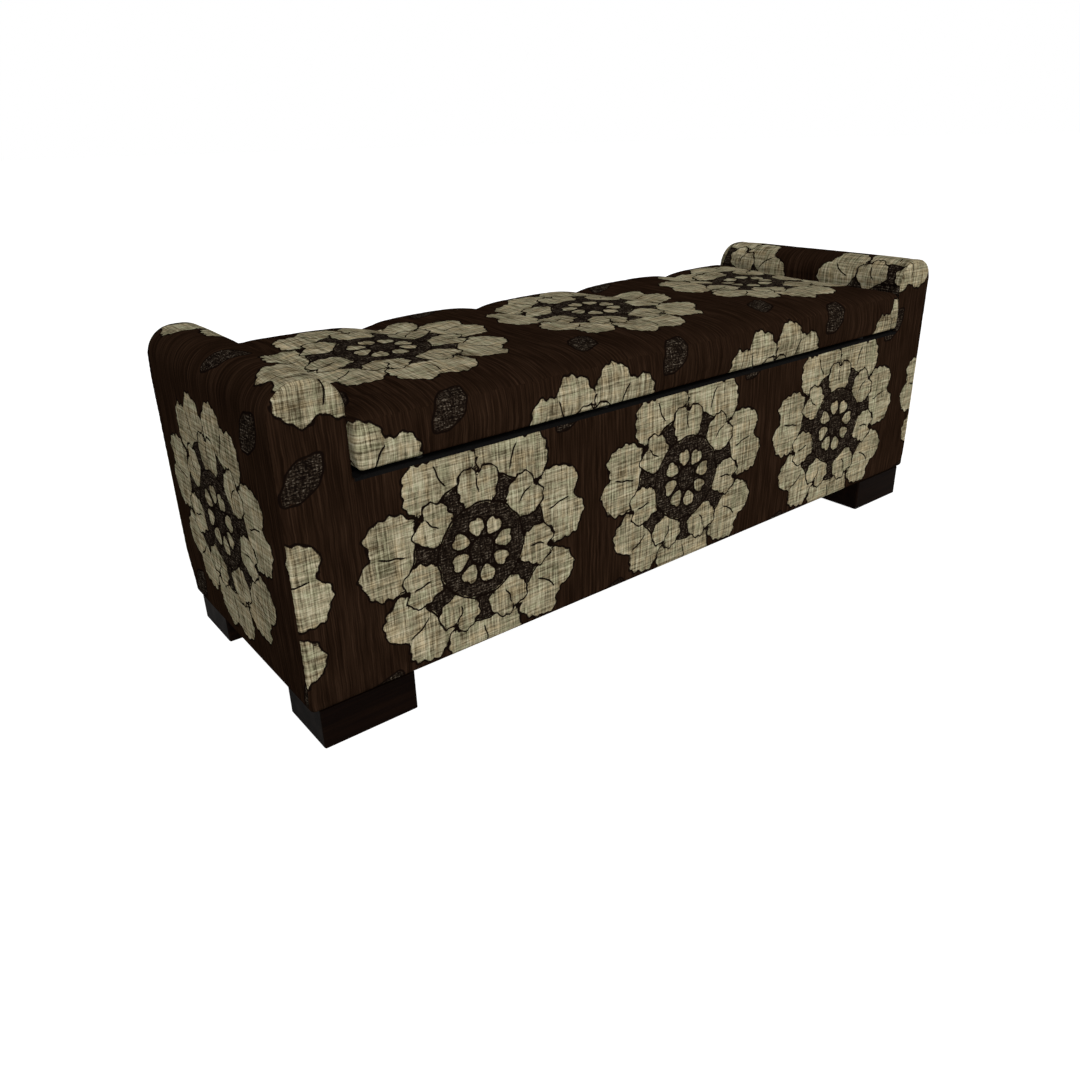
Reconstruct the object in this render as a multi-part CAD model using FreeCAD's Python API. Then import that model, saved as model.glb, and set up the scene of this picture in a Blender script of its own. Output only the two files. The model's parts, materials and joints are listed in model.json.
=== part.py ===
import FreeCAD, Part
import os, math

# Upholstered storage bench with a hinged boxed-cushion lid and raised slab arms.
# Millimetres. Origin: centre of the footprint on the floor. +X along the length,
# +Y towards the back, +Z up. The front of the bench is at -Y.

# ---------------------------------------------------------------- driving sizes
LENGTH = 1400.0          # overall length
DEPTH = 480.0            # overall depth, lid front to hinge barrel
ARM_TOP = 510.0          # height of the arms
BODY_HALF_D = 238.0      # upholstered body, half depth
FOOT_H = 64.0            # height of the foot blocks
FOOT_X, FOOT_Y = 146.0, 112.0
FOOT_INSET_X, FOOT_INSET_Y = 12.0, 3.5
GLIDE_T = 2.0            # nylon glide under each foot
ARM_T = 98.0             # thickness of an arm
ARM_R = 42.0             # shoulder radius of the tombstone-shaped arm
SKIN = 1.5               # upholstery fabric with its backing
PAD = 10.0               # foam over the boards
SEAT_GAP_BOTTOM = 376.0  # top of the box walls under the lid
LID_Z0 = 384.0           # underside of the lid
LID_SEAM = 448.0         # seam between lid band and lid top
LID_CROWN = 470.0        # highest line of the crowned lid
LID_HALF_X = 597.0
LID_Y0, LID_Y1 = -240.0, 236.0
LID_CORNER_R = 18.0
PLY_BASE = 15.0
PLY_ARM = 12.0
PLY_LID = 18.0
HINGE_Y, HINGE_Z = 236.5, 380.0
BARREL_R = 3.5
PIN_R, PIN_BORE_R = 1.5, 1.55
HINGE_HALF_X = 560.0
KNUCKLES = 28
LEAF_T = 1.5
OPEN_DEG = 85.0
STAY_R = 160.0           # stay pivot and stay stud both lie this far from the hinge axis
STAY_CHORD = 82.8        # distance from stay pivot to stud with the lid shut
STAY_PIVOT_Z = 366.0
STAY_T, STAY_W = 2.5, 17.0
STUD_R, SLOT_HALF = 4.0, 4.3

X1 = LENGTH / 2.0                    # outer skin of the arm
XI = X1 - ARM_T                      # inner skin of the arm
Z_DUST = FOOT_H                      # underside of the dust cover
Z_BASE = FOOT_H + 2.5                # underside of the base board
Z_FLOOR = Z_BASE + PLY_BASE          # floor of the storage box
X_OUT = X1 - SKIN - PAD              # outer face of the outer arm board
X_IN = XI + SKIN + PAD               # storage-side face of the inner arm board
Y_F = BODY_HALF_D - SKIN - PAD - 0.5  # outer face of the front and back boards
BOARD_TOP = 480.0                    # top of the arm boards

nodes = {}


def box(x0, x1, y0, y1, z0, z1):
    return Part.makeBox(x1 - x0, y1 - y0, z1 - z0, FreeCAD.Vector(x0, y0, z0))


def cyl(x, y, z, r, h, d=(0, 0, 1)):
    return Part.makeCylinder(r, h, FreeCAD.Vector(x, y, z), FreeCAD.Vector(*d))


def cone(x, y, z, r0, r1, h, d=(0, 0, 1)):
    return Part.makeCone(r0, r1, h, FreeCAD.Vector(x, y, z), FreeCAD.Vector(*d))


def fuse(items):
    out = items[0]
    if len(items) > 1:
        out = items[0].multiFuse(items[1:]).removeSplitter()
    return out


def cut(a, *bs):
    for b in bs:
        a = a.cut(b)
    return a


def group(items):
    return Part.makeCompound(items)


def mirror_x(s):
    return s.mirror(FreeCAD.Vector(0, 0, 0), FreeCAD.Vector(1, 0, 0))


def export(name, shape):
    solids = shape.Solids
    assert solids and all(s.isValid() for s in solids), name
    shape = solids[0] if len(solids) == 1 else Part.makeCompound(solids)
    nodes[name] = shape
    shape.exportStep("parts/" + name + ".step")


def pair(name, shape):
    """shape is on the +X side; writes right_NAME and its mirror left_NAME"""
    export("right_" + name, shape)
    export("left_" + name, mirror_x(shape))


def tomb_face(x0, x1, z0, z1, r, y):
    """upright slab outline with two round shoulders, in the plane of this y"""
    V = lambda x, z: FreeCAD.Vector(x, y, z)
    c = r * (1 - math.sqrt(0.5))
    e = [Part.LineSegment(V(x0, z0), V(x1, z0)).toShape(),
         Part.LineSegment(V(x1, z0), V(x1, z1 - r)).toShape(),
         Part.Arc(V(x1, z1 - r), V(x1 - c, z1 - c), V(x1 - r, z1)).toShape(),
         Part.LineSegment(V(x1 - r, z1), V(x0 + r, z1)).toShape(),
         Part.Arc(V(x0 + r, z1), V(x0 + c, z1 - c), V(x0, z1 - r)).toShape(),
         Part.LineSegment(V(x0, z1 - r), V(x0, z0)).toShape()]
    return Part.Face(Part.Wire(e))


def tomb(x0, x1, z0, z1, r, y0, y1):
    return tomb_face(x0, x1, z0, z1, r, y0).extrude(FreeCAD.Vector(0, y1 - y0, 0))


os.makedirs("parts", exist_ok=True)

# ---------------------------------------------------------------- feet and their fixings
fx0, fx1 = X1 - FOOT_INSET_X - FOOT_X, X1 - FOOT_INSET_X
fy1 = BODY_HALF_D - FOOT_INSET_Y
fy0 = fy1 - FOOT_Y
BOLT_X, BOLT_Y = X1 - 49.0, fy0 + 42.5
DOWEL_X, DOWEL_Y = fx0 + 43.0, fy0 + 56.0

glides, bolts, tees, dowels = [], [], [], []
bolt_holes, dowel_holes = [], []
for sx in (-1, 1):
    for sy in (-1, 1):
        cx, cy = sx * (fx0 + fx1) / 2, sy * (fy0 + fy1) / 2
        glides.append(cyl(cx, cy, 0, 20.0, GLIDE_T).fuse(cyl(cx, cy, GLIDE_T, 1.5, 16.0)))
        bx, by = sx * BOLT_X, sy * BOLT_Y
        bolts.append(cyl(bx, by, 20.0, 4.0, Z_FLOOR + 8.0 - 20.0))
        bolt_holes.append(cyl(bx, by, 20.0, 4.0, Z_FLOOR + 8.0 - 20.0))
        tees.append(cut(cyl(bx, by, Z_FLOOR, 10.0, 1.6).fuse(cyl(bx, by, Z_FLOOR + 1.6, 5.5, 6.4)),
                        cyl(bx, by, Z_FLOOR - 1, 4.0, 20)))
        dx, dy = sx * DOWEL_X, sy * DOWEL_Y
        dowels.append(cyl(dx, dy, 40.0, 4.0, Z_BASE + 11.0 - 40.0))
        dowel_holes.append(cyl(dx, dy, 40.0, 4.0, Z_BASE + 11.0 - 40.0))
        nm = "foot_" + ("front" if sy < 0 else "rear") + "_" + ("left" if sx < 0 else "right")
        f = box(min(sx * fx0, sx * fx1), max(sx * fx0, sx * fx1),
                min(sy * fy0, sy * fy1), max(sy * fy0, sy * fy1), GLIDE_T, FOOT_H)
        ve = [e for e in f.Edges if abs(e.tangentAt(e.FirstParameter).z) > 0.9]
        f = f.makeFillet(3.0, ve)
        low = [e for e in f.Edges if abs(e.BoundBox.ZMax - GLIDE_T) < 1e-6]
        f = f.makeChamfer(1.5, low)
        f = cut(f, cyl(cx, cy, GLIDE_T - 1, 1.5, 17.0), bolt_holes[-1], dowel_holes[-1])
        export(nm, f)
export("foot_glides", group(glides))
export("foot_bolts", group(bolts))
export("foot_tee_nuts", group(tees))
export("foot_dowels", group(dowels))

# ---------------------------------------------------------------- carcass
bottom = box(-X_OUT, X_OUT, -Y_F, Y_F, Z_BASE, Z_FLOOR)
export("bottom_board", cut(bottom, *(bolt_holes + dowel_holes)))

front_in = -Y_F + PLY_BASE
back_in = Y_F - PLY_BASE

# long screws through the inner arm boards into the ends of the front and back boards
fscrews, fholes = [], []
for sx in (-1, 1):
    for yy in (-Y_F + PLY_BASE / 2, Y_F - PLY_BASE / 2):
        for zz in (120.0, 220.0, 320.0):
            x0 = sx * (X_IN + PLY_ARM)
            s = cyl(x0, yy, zz, 2.5, 52.0, (-sx, 0, 0))
            fholes.append(s)
            fscrews.append(s.fuse(cyl(x0, yy, zz, 5.0, 2.5, (sx, 0, 0))))
export("carcass_screws", group(fscrews))

export("front_board", cut(box(-X_IN, X_IN, -Y_F, front_in, Z_FLOOR, SEAT_GAP_BOTTOM - SKIN), *fholes))

# countersunk hinge screws, in the edge of the back board and in the lid board
HX = [(-HINGE_HALF_X + 40.0) + i * (2 * HINGE_HALF_X - 80.0) / 9 for i in range(10)]
SCREW_Y = Y_F - PLY_BASE / 2
bscrews, bholes = [], []
for x in HX:
    zt = SEAT_GAP_BOTTOM + LEAF_T
    s = cone(x, SCREW_Y, zt - 1.5, 1.9, 3.6, 1.5).fuse(cyl(x, SCREW_Y, zt - 20.0, 1.9, 18.5))
    bscrews.append(s)
    bholes.append(s)
LSCREW_Y = 218.0
lscrews, lholes = [], []
for x in HX:
    x = x + 20.0 if x < 0 else x - 20.0
    zb = LID_Z0 - LEAF_T
    s = cone(x, LSCREW_Y, zb, 3.6, 1.9, 1.5).fuse(cyl(x, LSCREW_Y, zb + 1.5, 1.9, 14.0))
    lscrews.append(s)
    lholes.append(s)
export("hinge_base_screws", group(bscrews))
export("hinge_lid_screws", group(lscrews))

export("back_board", cut(box(-X_IN, X_IN, back_in, Y_F, Z_FLOOR, SEAT_GAP_BOTTOM - SKIN), *(fholes + bholes)))

outer = box(X_OUT - PLY_ARM, X_OUT, -Y_F, Y_F, Z_FLOOR, BOARD_TOP)
inner = box(X_IN, X_IN + PLY_ARM, -Y_F, Y_F, Z_FLOOR, BOARD_TOP)
pair("arm_outer_board", outer)

# hardwood block inside the box that carries the stay stud
a0 = 2 * math.asin(STAY_CHORD / 2 / STAY_R)          # angle pivot - hinge - stud, lid shut
pz = STAY_PIVOT_Z
py = HINGE_Y - math.sqrt(STAY_R ** 2 - (HINGE_Z - pz) ** 2)
pa = math.atan2(pz - HINGE_Z, py - HINGE_Y)
sa = pa + a0
sy_, sz_ = HINGE_Y + STAY_R * math.cos(sa), HINGE_Z + STAY_R * math.sin(sa)
print("stay pivot y z", round(py, 3), round(pz, 3), "stud y z", round(sy_, 3), round(sz_, 3))
XB = X_IN - 20.0                                      # inner face of the block
stud_hole = cyl(XB - 10, sy_, sz_, STUD_R, 10 + 20 + PLY_ARM, (1, 0, 0))
blk = box(XB, X_IN, sy_ - 22, sy_ + 22, sz_ - 30, sz_ + 30)
blk = blk.makeFillet(4.0, [e for e in blk.Edges if abs(e.tangentAt(e.FirstParameter).x) > 0.9])
bsc, bsh = [], []
for dz in (-18.0, 18.0):
    s = cyl(XB, sy_, sz_ + dz, 2.2, 28.0, (1, 0, 0))
    bsh.append(s)
    bsc.append(s.fuse(cyl(XB - 1.6, sy_, sz_ + dz, 4.0, 1.6, (1, 0, 0))))
pair("stay_block", cut(blk, stud_hole, *bsh))
export("stay_block_screws", group(bsc + [mirror_x(s) for s in bsc]))
pair("arm_inner_board", cut(inner, stud_hole, *(fholes + bsh)))

post_x0, post_x1 = X_IN + PLY_ARM, X_OUT - PLY_ARM
export_posts = [("arm_front_post", -Y_F, -Y_F + 40.0), ("arm_rear_post", Y_F - 40.0, Y_F)]
for nm, y0, y1 in export_posts:
    p_ = box(post_x0, post_x1, y0, y1, Z_FLOOR, BOARD_TOP - 40.0)
    for s in [cyl(sx * (X_IN + PLY_ARM), yy, zz, 5.0, 2.5, (sx, 0, 0)) for sx in (1,)
              for yy in (-Y_F + PLY_BASE / 2, Y_F - PLY_BASE / 2) for zz in (120.0, 220.0, 320.0)]:
        p_ = p_.cut(s)
    pair(nm, p_)
pair("arm_top_rail", box(post_x0, post_x1, -Y_F, Y_F, BOARD_TOP - 40.0, BOARD_TOP))

# ---------------------------------------------------------------- stay stud, stay arm, bracket and rivet
SX0 = XB - 6.5                                        # stay arm, storage side
SX1 = SX0 + STAY_T
stud = cyl(XB + 32.0, sy_, sz_, STUD_R, 32.0 + (XB - SX0) + 1.0, (-1, 0, 0))
stud = stud.fuse(cyl(SX0 - 0.6, sy_, sz_, 7.0, 2.4, (-1, 0, 0)))
stud = stud.fuse(cyl(SX1 + 0.6, sy_, sz_, 7.0, XB - SX1 - 0.6, (1, 0, 0)))
pair("stay_stud", stud)

open_chord = 2 * STAY_R * math.sin((a0 + math.radians(OPEN_DEG)) / 2)
ux, uz = (sy_ - py) / STAY_CHORD, (sz_ - pz) / STAY_CHORD     # along the arm, in Y and Z
arm_len = open_chord + SLOT_HALF + 9.0


def along(s, w0, w1, half, x0, x1):
    """slotted-bar piece from w0 to w1 along the arm, half wide, with round ends"""
    P = lambda t, q: FreeCAD.Vector(x0, py + ux * t - uz * q, pz + uz * t + ux * q)
    e = [Part.LineSegment(P(w0, -half), P(w1, -half)).toShape(),
         Part.Arc(P(w1, -half), P(w1 + half, 0), P(w1, half)).toShape(),
         Part.LineSegment(P(w1, half), P(w0, half)).toShape(),
         Part.Arc(P(w0, half), P(w0 - half, 0), P(w0, -half)).toShape()]
    return Part.Face(Part.Wire(e)).extrude(FreeCAD.Vector(x1 - x0, 0, 0))


bar = along(0, 0.0, arm_len, STAY_W / 2, SX0, SX1)
slot = along(0, STAY_CHORD - 0.6, open_chord + 0.6, SLOT_HALF, SX0 - 1, SX1 + 1)
RIV_R = 3.0
bar = cut(bar, slot, cyl(SX0 - 1, py, pz, RIV_R + 0.05, STAY_T + 2, (1, 0, 0)))
pair("stay_arm", bar)

BR1 = SX0 - 0.8                                       # bracket flange beside the stay arm
BR0 = BR1 - 2.0
flange = box(BR0, BR1, py - 13, py + 13, pz - 11, LID_Z0)
flange = flange.makeFillet(9.0, [e for e in flange.Edges
                                 if abs(e.tangentAt(e.FirstParameter).x) > 0.9 and e.BoundBox.ZMax < pz])
foot_pl = box(BR0 - 26.0, BR1, py - 13, py + 13, LID_Z0 - 2.0, LID_Z0)
lsc, lsh = [], []
for dy in (-7.0, 7.0):
    s = cyl(BR0 - 15.0, py + dy, LID_Z0 - 2.0, 2.0, 15.0)
    lsh.append(s)
    lsc.append(s.fuse(cyl(BR0 - 15.0, py + dy, LID_Z0 - 3.4, 3.6, 1.4)))
bracket = cut(fuse([flange, foot_pl]), cyl(BR0 - 1, py, pz, RIV_R, 4, (1, 0, 0)), *lsh)
pair("lid_bracket", bracket)
export("lid_bracket_screws", group(lsc + [mirror_x(s) for s in lsc]))
riv = cyl(BR0 - 1.2, py, pz, RIV_R, SX1 + 0.3 + 1.2 - BR0 + 1.2, (1, 0, 0))
riv = riv.fuse(cyl(BR0 - 1.4, py, pz, 5.0, 1.4, (1, 0, 0))).fuse(cyl(SX1 + 0.3, py, pz, 5.0, 1.3, (1, 0, 0)))
pair("stay_rivet", riv)

# ---------------------------------------------------------------- foam and upholstery of the body
zc = Z_BASE                                            # covers run down to the base board
export("front_padding", box(-XI - SKIN, XI + SKIN, -BODY_HALF_D + SKIN, -Y_F, zc, SEAT_GAP_BOTTOM - SKIN))
export("back_padding", box(-XI - SKIN, XI + SKIN, Y_F, BODY_HALF_D - SKIN, zc, SEAT_GAP_BOTTOM - SKIN))

pad_o = tomb(XI + SKIN, X1 - SKIN, zc, ARM_TOP - SKIN, ARM_R - SKIN, -BODY_HALF_D + SKIN, BODY_HALF_D - SKIN)
wood = box(X_IN, X_OUT, -Y_F, Y_F, zc - 1, BOARD_TOP)
below = box(XI, X_IN, -Y_F, Y_F, zc - 1, SEAT_GAP_BOTTOM - SKIN)
pair("arm_padding", cut(pad_o, wood, below))

sk_o = tomb(XI, X1, zc - SKIN, ARM_TOP, ARM_R, -BODY_HALF_D, BODY_HALF_D)
sk_i = tomb(XI + SKIN, X1 - SKIN, zc - SKIN - 1, ARM_TOP - SKIN, ARM_R - SKIN, -BODY_HALF_D + SKIN, BODY_HALF_D - SKIN)
wrap = sk_o.cut(tomb(XI + SKIN, X1 - SKIN, zc - SKIN - 1, ARM_TOP - SKIN, ARM_R - SKIN, -BODY_HALF_D - 1, BODY_HALF_D + 1))
wrap = wrap.cut(box(XI - 1, X1 + 1, -BODY_HALF_D - 1, -BODY_HALF_D + SKIN, 0, 600))
wrap = wrap.cut(box(XI - 1, X1 + 1, BODY_HALF_D - SKIN, BODY_HALF_D + 1, 0, 600))
wrap = wrap.cut(box(XI - 1, XI + SKIN + 0.1, -300, 300, 0, SEAT_GAP_BOTTOM - SKIN))
hem = box(X1 - 26.0, X1 - SKIN + 0.01, -120.0, 120.0, zc - SKIN, zc)
pair("arm_cover", fuse([wrap, hem]))


def u_cover(sgn):
    """front (sgn -1) or back (sgn 1) skin: low panel between two tombstone ends, hemmed under and over"""
    ya, yb = BODY_HALF_D - SKIN, BODY_HALF_D
    y0, y1 = (ya, yb) if sgn > 0 else (-yb, -ya)
    right = tomb(XI, X1, zc - SKIN, ARM_TOP, ARM_R, y0, y1)
    mid = box(-XI - 1, XI + 1, y0, y1, zc - SKIN, SEAT_GAP_BOTTOM)
    # hem folded over the top edge of the board, and hem turned under the base board
    ti = Y_F - PLY_BASE
    top = box(-XI, XI, min(sgn * ti, sgn * yb), max(sgn * ti, sgn * yb), SEAT_GAP_BOTTOM - SKIN, SEAT_GAP_BOTTOM)
    un = box(-fx0 + 2, fx0 - 2, min(sgn * (yb - 26), sgn * yb), max(sgn * (yb - 26), sgn * yb), zc - SKIN, zc)
    return fuse([right, mirror_x(right), mid, top, un])


export("front_cover", u_cover(-1))
export("back_cover", cut(u_cover(1), *bholes))

lin = box(-X_IN, X_IN, front_in, back_in, Z_FLOOR, 366.0).cut(
    box(-X_IN + 1, X_IN - 1, front_in + 1, back_in - 1, Z_FLOOR + 1, 400.0))
lin = cut(lin, blk, mirror_x(blk))
export("interior_lining", lin)

dust = box(-X_OUT + 4, X_OUT - 4, -Y_F + 6, Y_F - 6, Z_DUST, Z_DUST + 1.0)
export("dust_cover", cut(dust, *(bolt_holes + dowel_holes)))

# rubber buffers on top of the front wall, and at the front of each inner arm ledge
bump = []
for x in (-500.0, -170.0, 170.0, 500.0):
    c = cyl(x, -Y_F + 4.0, SEAT_GAP_BOTTOM, 6.0, LID_Z0 - SEAT_GAP_BOTTOM - 0.3)
    c = c.makeFillet(1.5, [e for e in c.Edges if abs(e.BoundBox.ZMin - e.BoundBox.ZMax) < 1e-6
                           and e.BoundBox.ZMax > LID_Z0 - 2])
    bump.append(c)
export("lid_bumpers", group(bump))

# ---------------------------------------------------------------- piano hinge
kw = 2 * HINGE_HALF_X / KNUCKLES
KG = 0.3
base_leaf = [box(-HINGE_HALF_X, HINGE_HALF_X, back_in + 1.0, HINGE_Y - BARREL_R - 1.0,
                 SEAT_GAP_BOTTOM, SEAT_GAP_BOTTOM + LEAF_T)]
lid_leaf = [box(-HINGE_HALF_X, HINGE_HALF_X, 208.0, HINGE_Y - BARREL_R - 1.0, LID_Z0 - LEAF_T, LID_Z0)]
for k in range(KNUCKLES):
    x0 = -HINGE_HALF_X + k * kw
    tube = cyl(x0 + KG / 2, HINGE_Y, HINGE_Z, BARREL_R, kw - KG, (1, 0, 0))
    if k % 2 == 0:
        arm = box(x0 + KG / 2, x0 + kw - KG / 2, HINGE_Y - BARREL_R - 1.5, HINGE_Y - 0.6,
                  SEAT_GAP_BOTTOM, SEAT_GAP_BOTTOM + LEAF_T)
        base_leaf += [arm, tube]
    else:
        arm = box(x0 + KG / 2, x0 + kw - KG / 2, HINGE_Y - BARREL_R - 1.5, HINGE_Y - 0.6,
                  LID_Z0 - LEAF_T, LID_Z0)
        lid_leaf += [arm, tube]
bore = cyl(-HINGE_HALF_X - 1, HINGE_Y, HINGE_Z, PIN_BORE_R, 2 * HINGE_HALF_X + 2, (1, 0, 0))
export("hinge_base_leaf", cut(fuse(base_leaf), bore, *bholes))
export("hinge_lid_leaf", cut(fuse(lid_leaf), bore, *lholes))
export("hinge_pin", cyl(-HINGE_HALF_X, HINGE_Y, HINGE_Z, PIN_R, 2 * HINGE_HALF_X, (1, 0, 0)))


# ---------------------------------------------------------------- lid
def lid_solid(o):
    """outer form of the boxed cushion, shrunk by o on every side but the bottom"""
    hx, y0, y1 = LID_HALF_X - o, LID_Y0 + o, LID_Y1 - o
    z0, zs, zc_ = LID_Z0, LID_SEAM - o, LID_CROWN - o
    V = FreeCAD.Vector
    ym = (y0 + y1) / 2
    e = [Part.LineSegment(V(-700, y0, z0), V(-700, y1, z0)).toShape(),
         Part.LineSegment(V(-700, y1, z0), V(-700, y1, zs)).toShape(),
         Part.Arc(V(-700, y1, zs), V(-700, ym, zc_), V(-700, y0, zs)).toShape(),
         Part.LineSegment(V(-700, y0, zs), V(-700, y0, z0)).toShape()]
    a = Part.Face(Part.Wire(e)).extrude(V(1400, 0, 0))
    r = zc_ - zs
    e = [Part.LineSegment(V(-hx, -300, z0), V(hx, -300, z0)).toShape(),
         Part.LineSegment(V(hx, -300, z0), V(hx, -300, zs)).toShape(),
         Part.Arc(V(hx, -300, zs), V(hx - 17, -300, zs + r * 0.62), V(hx - 60, -300, zc_ + 0.5)).toShape(),
         Part.LineSegment(V(hx - 60, -300, zc_ + 0.5), V(-hx + 60, -300, zc_ + 0.5)).toShape(),
         Part.Arc(V(-hx + 60, -300, zc_ + 0.5), V(-hx + 17, -300, zs + r * 0.62), V(-hx, -300, zs)).toShape(),
         Part.LineSegment(V(-hx, -300, zs), V(-hx, -300, z0)).toShape()]
    b = Part.Face(Part.Wire(e)).extrude(V(0, 600, 0))
    c = Part.makeBox(2 * hx, y1 - y0, 200, V(-hx, y0, z0 - 10))
    ed = [q for q in c.Edges if abs(q.tangentAt(q.FirstParameter).z) > 0.9 and q.BoundBox.YMax < 0]
    c = c.makeFillet(LID_CORNER_R - o, ed)
    return a.common(b).common(c)


lo, li = lid_solid(0.0), lid_solid(SKIN)
skin = lo.cut(li)
big = 2000.0
board = box(-LID_HALF_X + 5, LID_HALF_X - 5, LID_Y0 + 8, LID_Y1 - 6, LID_Z0 + 1, LID_Z0 + 1 + PLY_LID)
board = board.makeFillet(12.0, [q for q in board.Edges
                                if abs(q.tangentAt(q.FirstParameter).z) > 0.9 and q.BoundBox.YMax < 0])
foam = li.common(box(-big, big, -big, big, LID_Z0 + 1, 600)).cut(board)
under = li.common(box(-big, big, -big, big, LID_Z0, LID_Z0 + 1))
export("lid_board", cut(board, *(lholes + lsh + [mirror_x(s) for s in lsh])))
export("lid_foam", foam)
export("lid_underside_cloth", cut(under, *(lholes + lsh + [mirror_x(s) for s in lsh])))
export("lid_band", skin.common(box(-big, big, -big, big, LID_Z0, LID_SEAM - SKIN)))
export("lid_top_cover", skin.common(box(-big, big, -big, big, LID_SEAM - SKIN, 600)))

bb = Part.makeCompound(list(nodes.values())).BoundBox
print(len(nodes), "nodes; box", [round(v, 3) for v in (bb.XMin, bb.XMax, bb.YMin, bb.YMax, bb.ZMin, bb.ZMax)])
for n, s in nodes.items():
    print("%-22s solids %2d  vol %9.1f cm3" % (n, len(s.Solids), s.Volume / 1000.0))
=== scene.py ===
import json
import math
import bpy
import numpy as np
from mathutils import Matrix, Vector, kdtree


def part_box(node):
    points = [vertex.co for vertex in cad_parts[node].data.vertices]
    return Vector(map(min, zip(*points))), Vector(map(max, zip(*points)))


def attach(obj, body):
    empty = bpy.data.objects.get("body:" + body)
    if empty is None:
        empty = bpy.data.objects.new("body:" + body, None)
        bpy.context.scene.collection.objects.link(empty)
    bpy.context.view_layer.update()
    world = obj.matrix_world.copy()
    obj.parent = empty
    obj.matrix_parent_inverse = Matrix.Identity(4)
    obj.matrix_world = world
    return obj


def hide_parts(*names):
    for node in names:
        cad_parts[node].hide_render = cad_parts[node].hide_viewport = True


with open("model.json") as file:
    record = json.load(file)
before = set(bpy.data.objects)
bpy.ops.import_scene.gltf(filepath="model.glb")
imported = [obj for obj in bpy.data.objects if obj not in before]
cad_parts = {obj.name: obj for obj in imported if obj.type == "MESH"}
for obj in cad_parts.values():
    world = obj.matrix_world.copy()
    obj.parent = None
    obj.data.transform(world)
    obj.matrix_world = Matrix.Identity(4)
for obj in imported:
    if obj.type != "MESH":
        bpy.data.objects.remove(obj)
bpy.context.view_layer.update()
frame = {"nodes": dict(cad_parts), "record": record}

MM = 0.001

# ------------------------------------------------------------------ small tools


def lines(a, b, step, fa=None, fb=None, grow=1.4):
    """coordinates from a to b with fine steps at the ends, growing to step"""
    def run(f):
        out, d = [0.0], f
        while d < step:
            out.append(out[-1] + d)
            d *= grow
        return out
    A = run(fa) if fa else [0.0]
    B = run(fb) if fb else [0.0]
    L = b - a
    mid = L - A[-1] - B[-1]
    n = max(1, int(round(mid / step)))
    M = A[-1] + np.arange(1, n) * (mid / n)
    return a + np.concatenate([A, M, L - np.array(B)[::-1]])


def smooth(x, a, b):
    t = np.clip((np.asarray(x, float) - a) / (b - a), 0, 1)
    return t * t * (3 - 2 * t)


_rng = np.random.default_rng(20)
_LAT = _rng.random((32, 32, 32)) * 2 - 1


def noise(p, size, seed=0):
    """smooth value noise, -1..1; p is (..., 3) in mm, size is one lattice step in mm"""
    q = np.asarray(p, float) / size + seed * 7.31
    i = np.floor(q).astype(int)
    f = q - i
    f = f * f * (3 - 2 * f)
    out = 0.0
    for a in (0, 1):
        for b in (0, 1):
            for c in (0, 1):
                w = (f[..., 0] if a else 1 - f[..., 0]) * (f[..., 1] if b else 1 - f[..., 1]) * (f[..., 2] if c else 1 - f[..., 2])
                out = out + w * _LAT[(i[..., 0] + a) % 32, (i[..., 1] + b) % 32, (i[..., 2] + c) % 32]
    return out


def arr3(x, y, z):
    x, y, z = np.broadcast_arrays(x, y, z)
    return np.stack([x, y, z], -1).astype(float)


class Patch:
    """vertices and quads gathered from several grids, welded where they meet"""

    def __init__(self):
        self.V, self.F, self.A, self.n = [], [], [], 0

    def grid(self, P, uv, flip=False, closed_u=False):
        """P is (n, m, 3) in mm, uv (n, m, 2) fabric coordinates in mm"""
        n, m = P.shape[:2]
        idx = self.n + np.arange(n * m).reshape(n, m)
        self.V.append(P.reshape(-1, 3))
        self.A.append(uv.reshape(-1, 2))
        self.n += n * m
        r = np.arange(n if closed_u else n - 1)
        a = idx[r][:, :-1]
        b = idx[(r + 1) % n][:, :-1]
        c = idx[(r + 1) % n][:, 1:]
        d = idx[r][:, 1:]
        q = np.stack([a, b, c, d], -1).reshape(-1, 4)
        self.F.append(q[:, ::-1] if flip else q)
        return idx

    def mesh(self, name, weld=0.02):
        V, A, F = np.concatenate(self.V), np.concatenate(self.A), np.concatenate(self.F)
        key = np.round(V / weld).astype(np.int64)
        _, first, inv = np.unique(key, axis=0, return_index=True, return_inverse=True)
        inv = inv.ravel()
        V, A, F = V[first], A[first], inv[F]
        # drop quads that welding collapsed, keep those that became triangles
        faces = []
        bad = (F[:, 0] == F[:, 1]) | (F[:, 1] == F[:, 2]) | (F[:, 2] == F[:, 3]) | (F[:, 3] == F[:, 0]) | (F[:, 0] == F[:, 2]) | (F[:, 1] == F[:, 3])
        good = F[~bad]
        for q in F[bad]:
            t = list(dict.fromkeys(q.tolist()))
            if len(t) == 3:
                faces.append(t)
        me = bpy.data.meshes.new(name)
        me.from_pydata((V * MM).tolist(), [], good.tolist() + faces)
        me.validate()
        me.update()
        me.polygons.foreach_set("use_smooth", [True] * len(me.polygons))
        return me, V, A


def add_vec(me, name, data):
    at = me.attributes.new(name, "FLOAT_VECTOR", "POINT")
    at.data.foreach_set("vector", np.ascontiguousarray(data, np.float32).ravel())


def piece(name, me, body, mats):
    ob = bpy.data.objects.new(name, me)
    bpy.context.scene.collection.objects.link(ob)
    for m in (mats if isinstance(mats, (list, tuple)) else [mats]):
        me.materials.append(m)
    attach(ob, body)
    return ob


# ------------------------------------------------------------------ the woven flower
# A generic rosette made by formula, one to each repeat of the cloth, in a plain half-drop layout.
PITCH_U, PITCH_V, SHIFT_U = 420.0, 420.0, 210.0
V_LOW = -210.0          # a row's lowest line, from its flowers' centres
CLIP = 15.0

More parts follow.
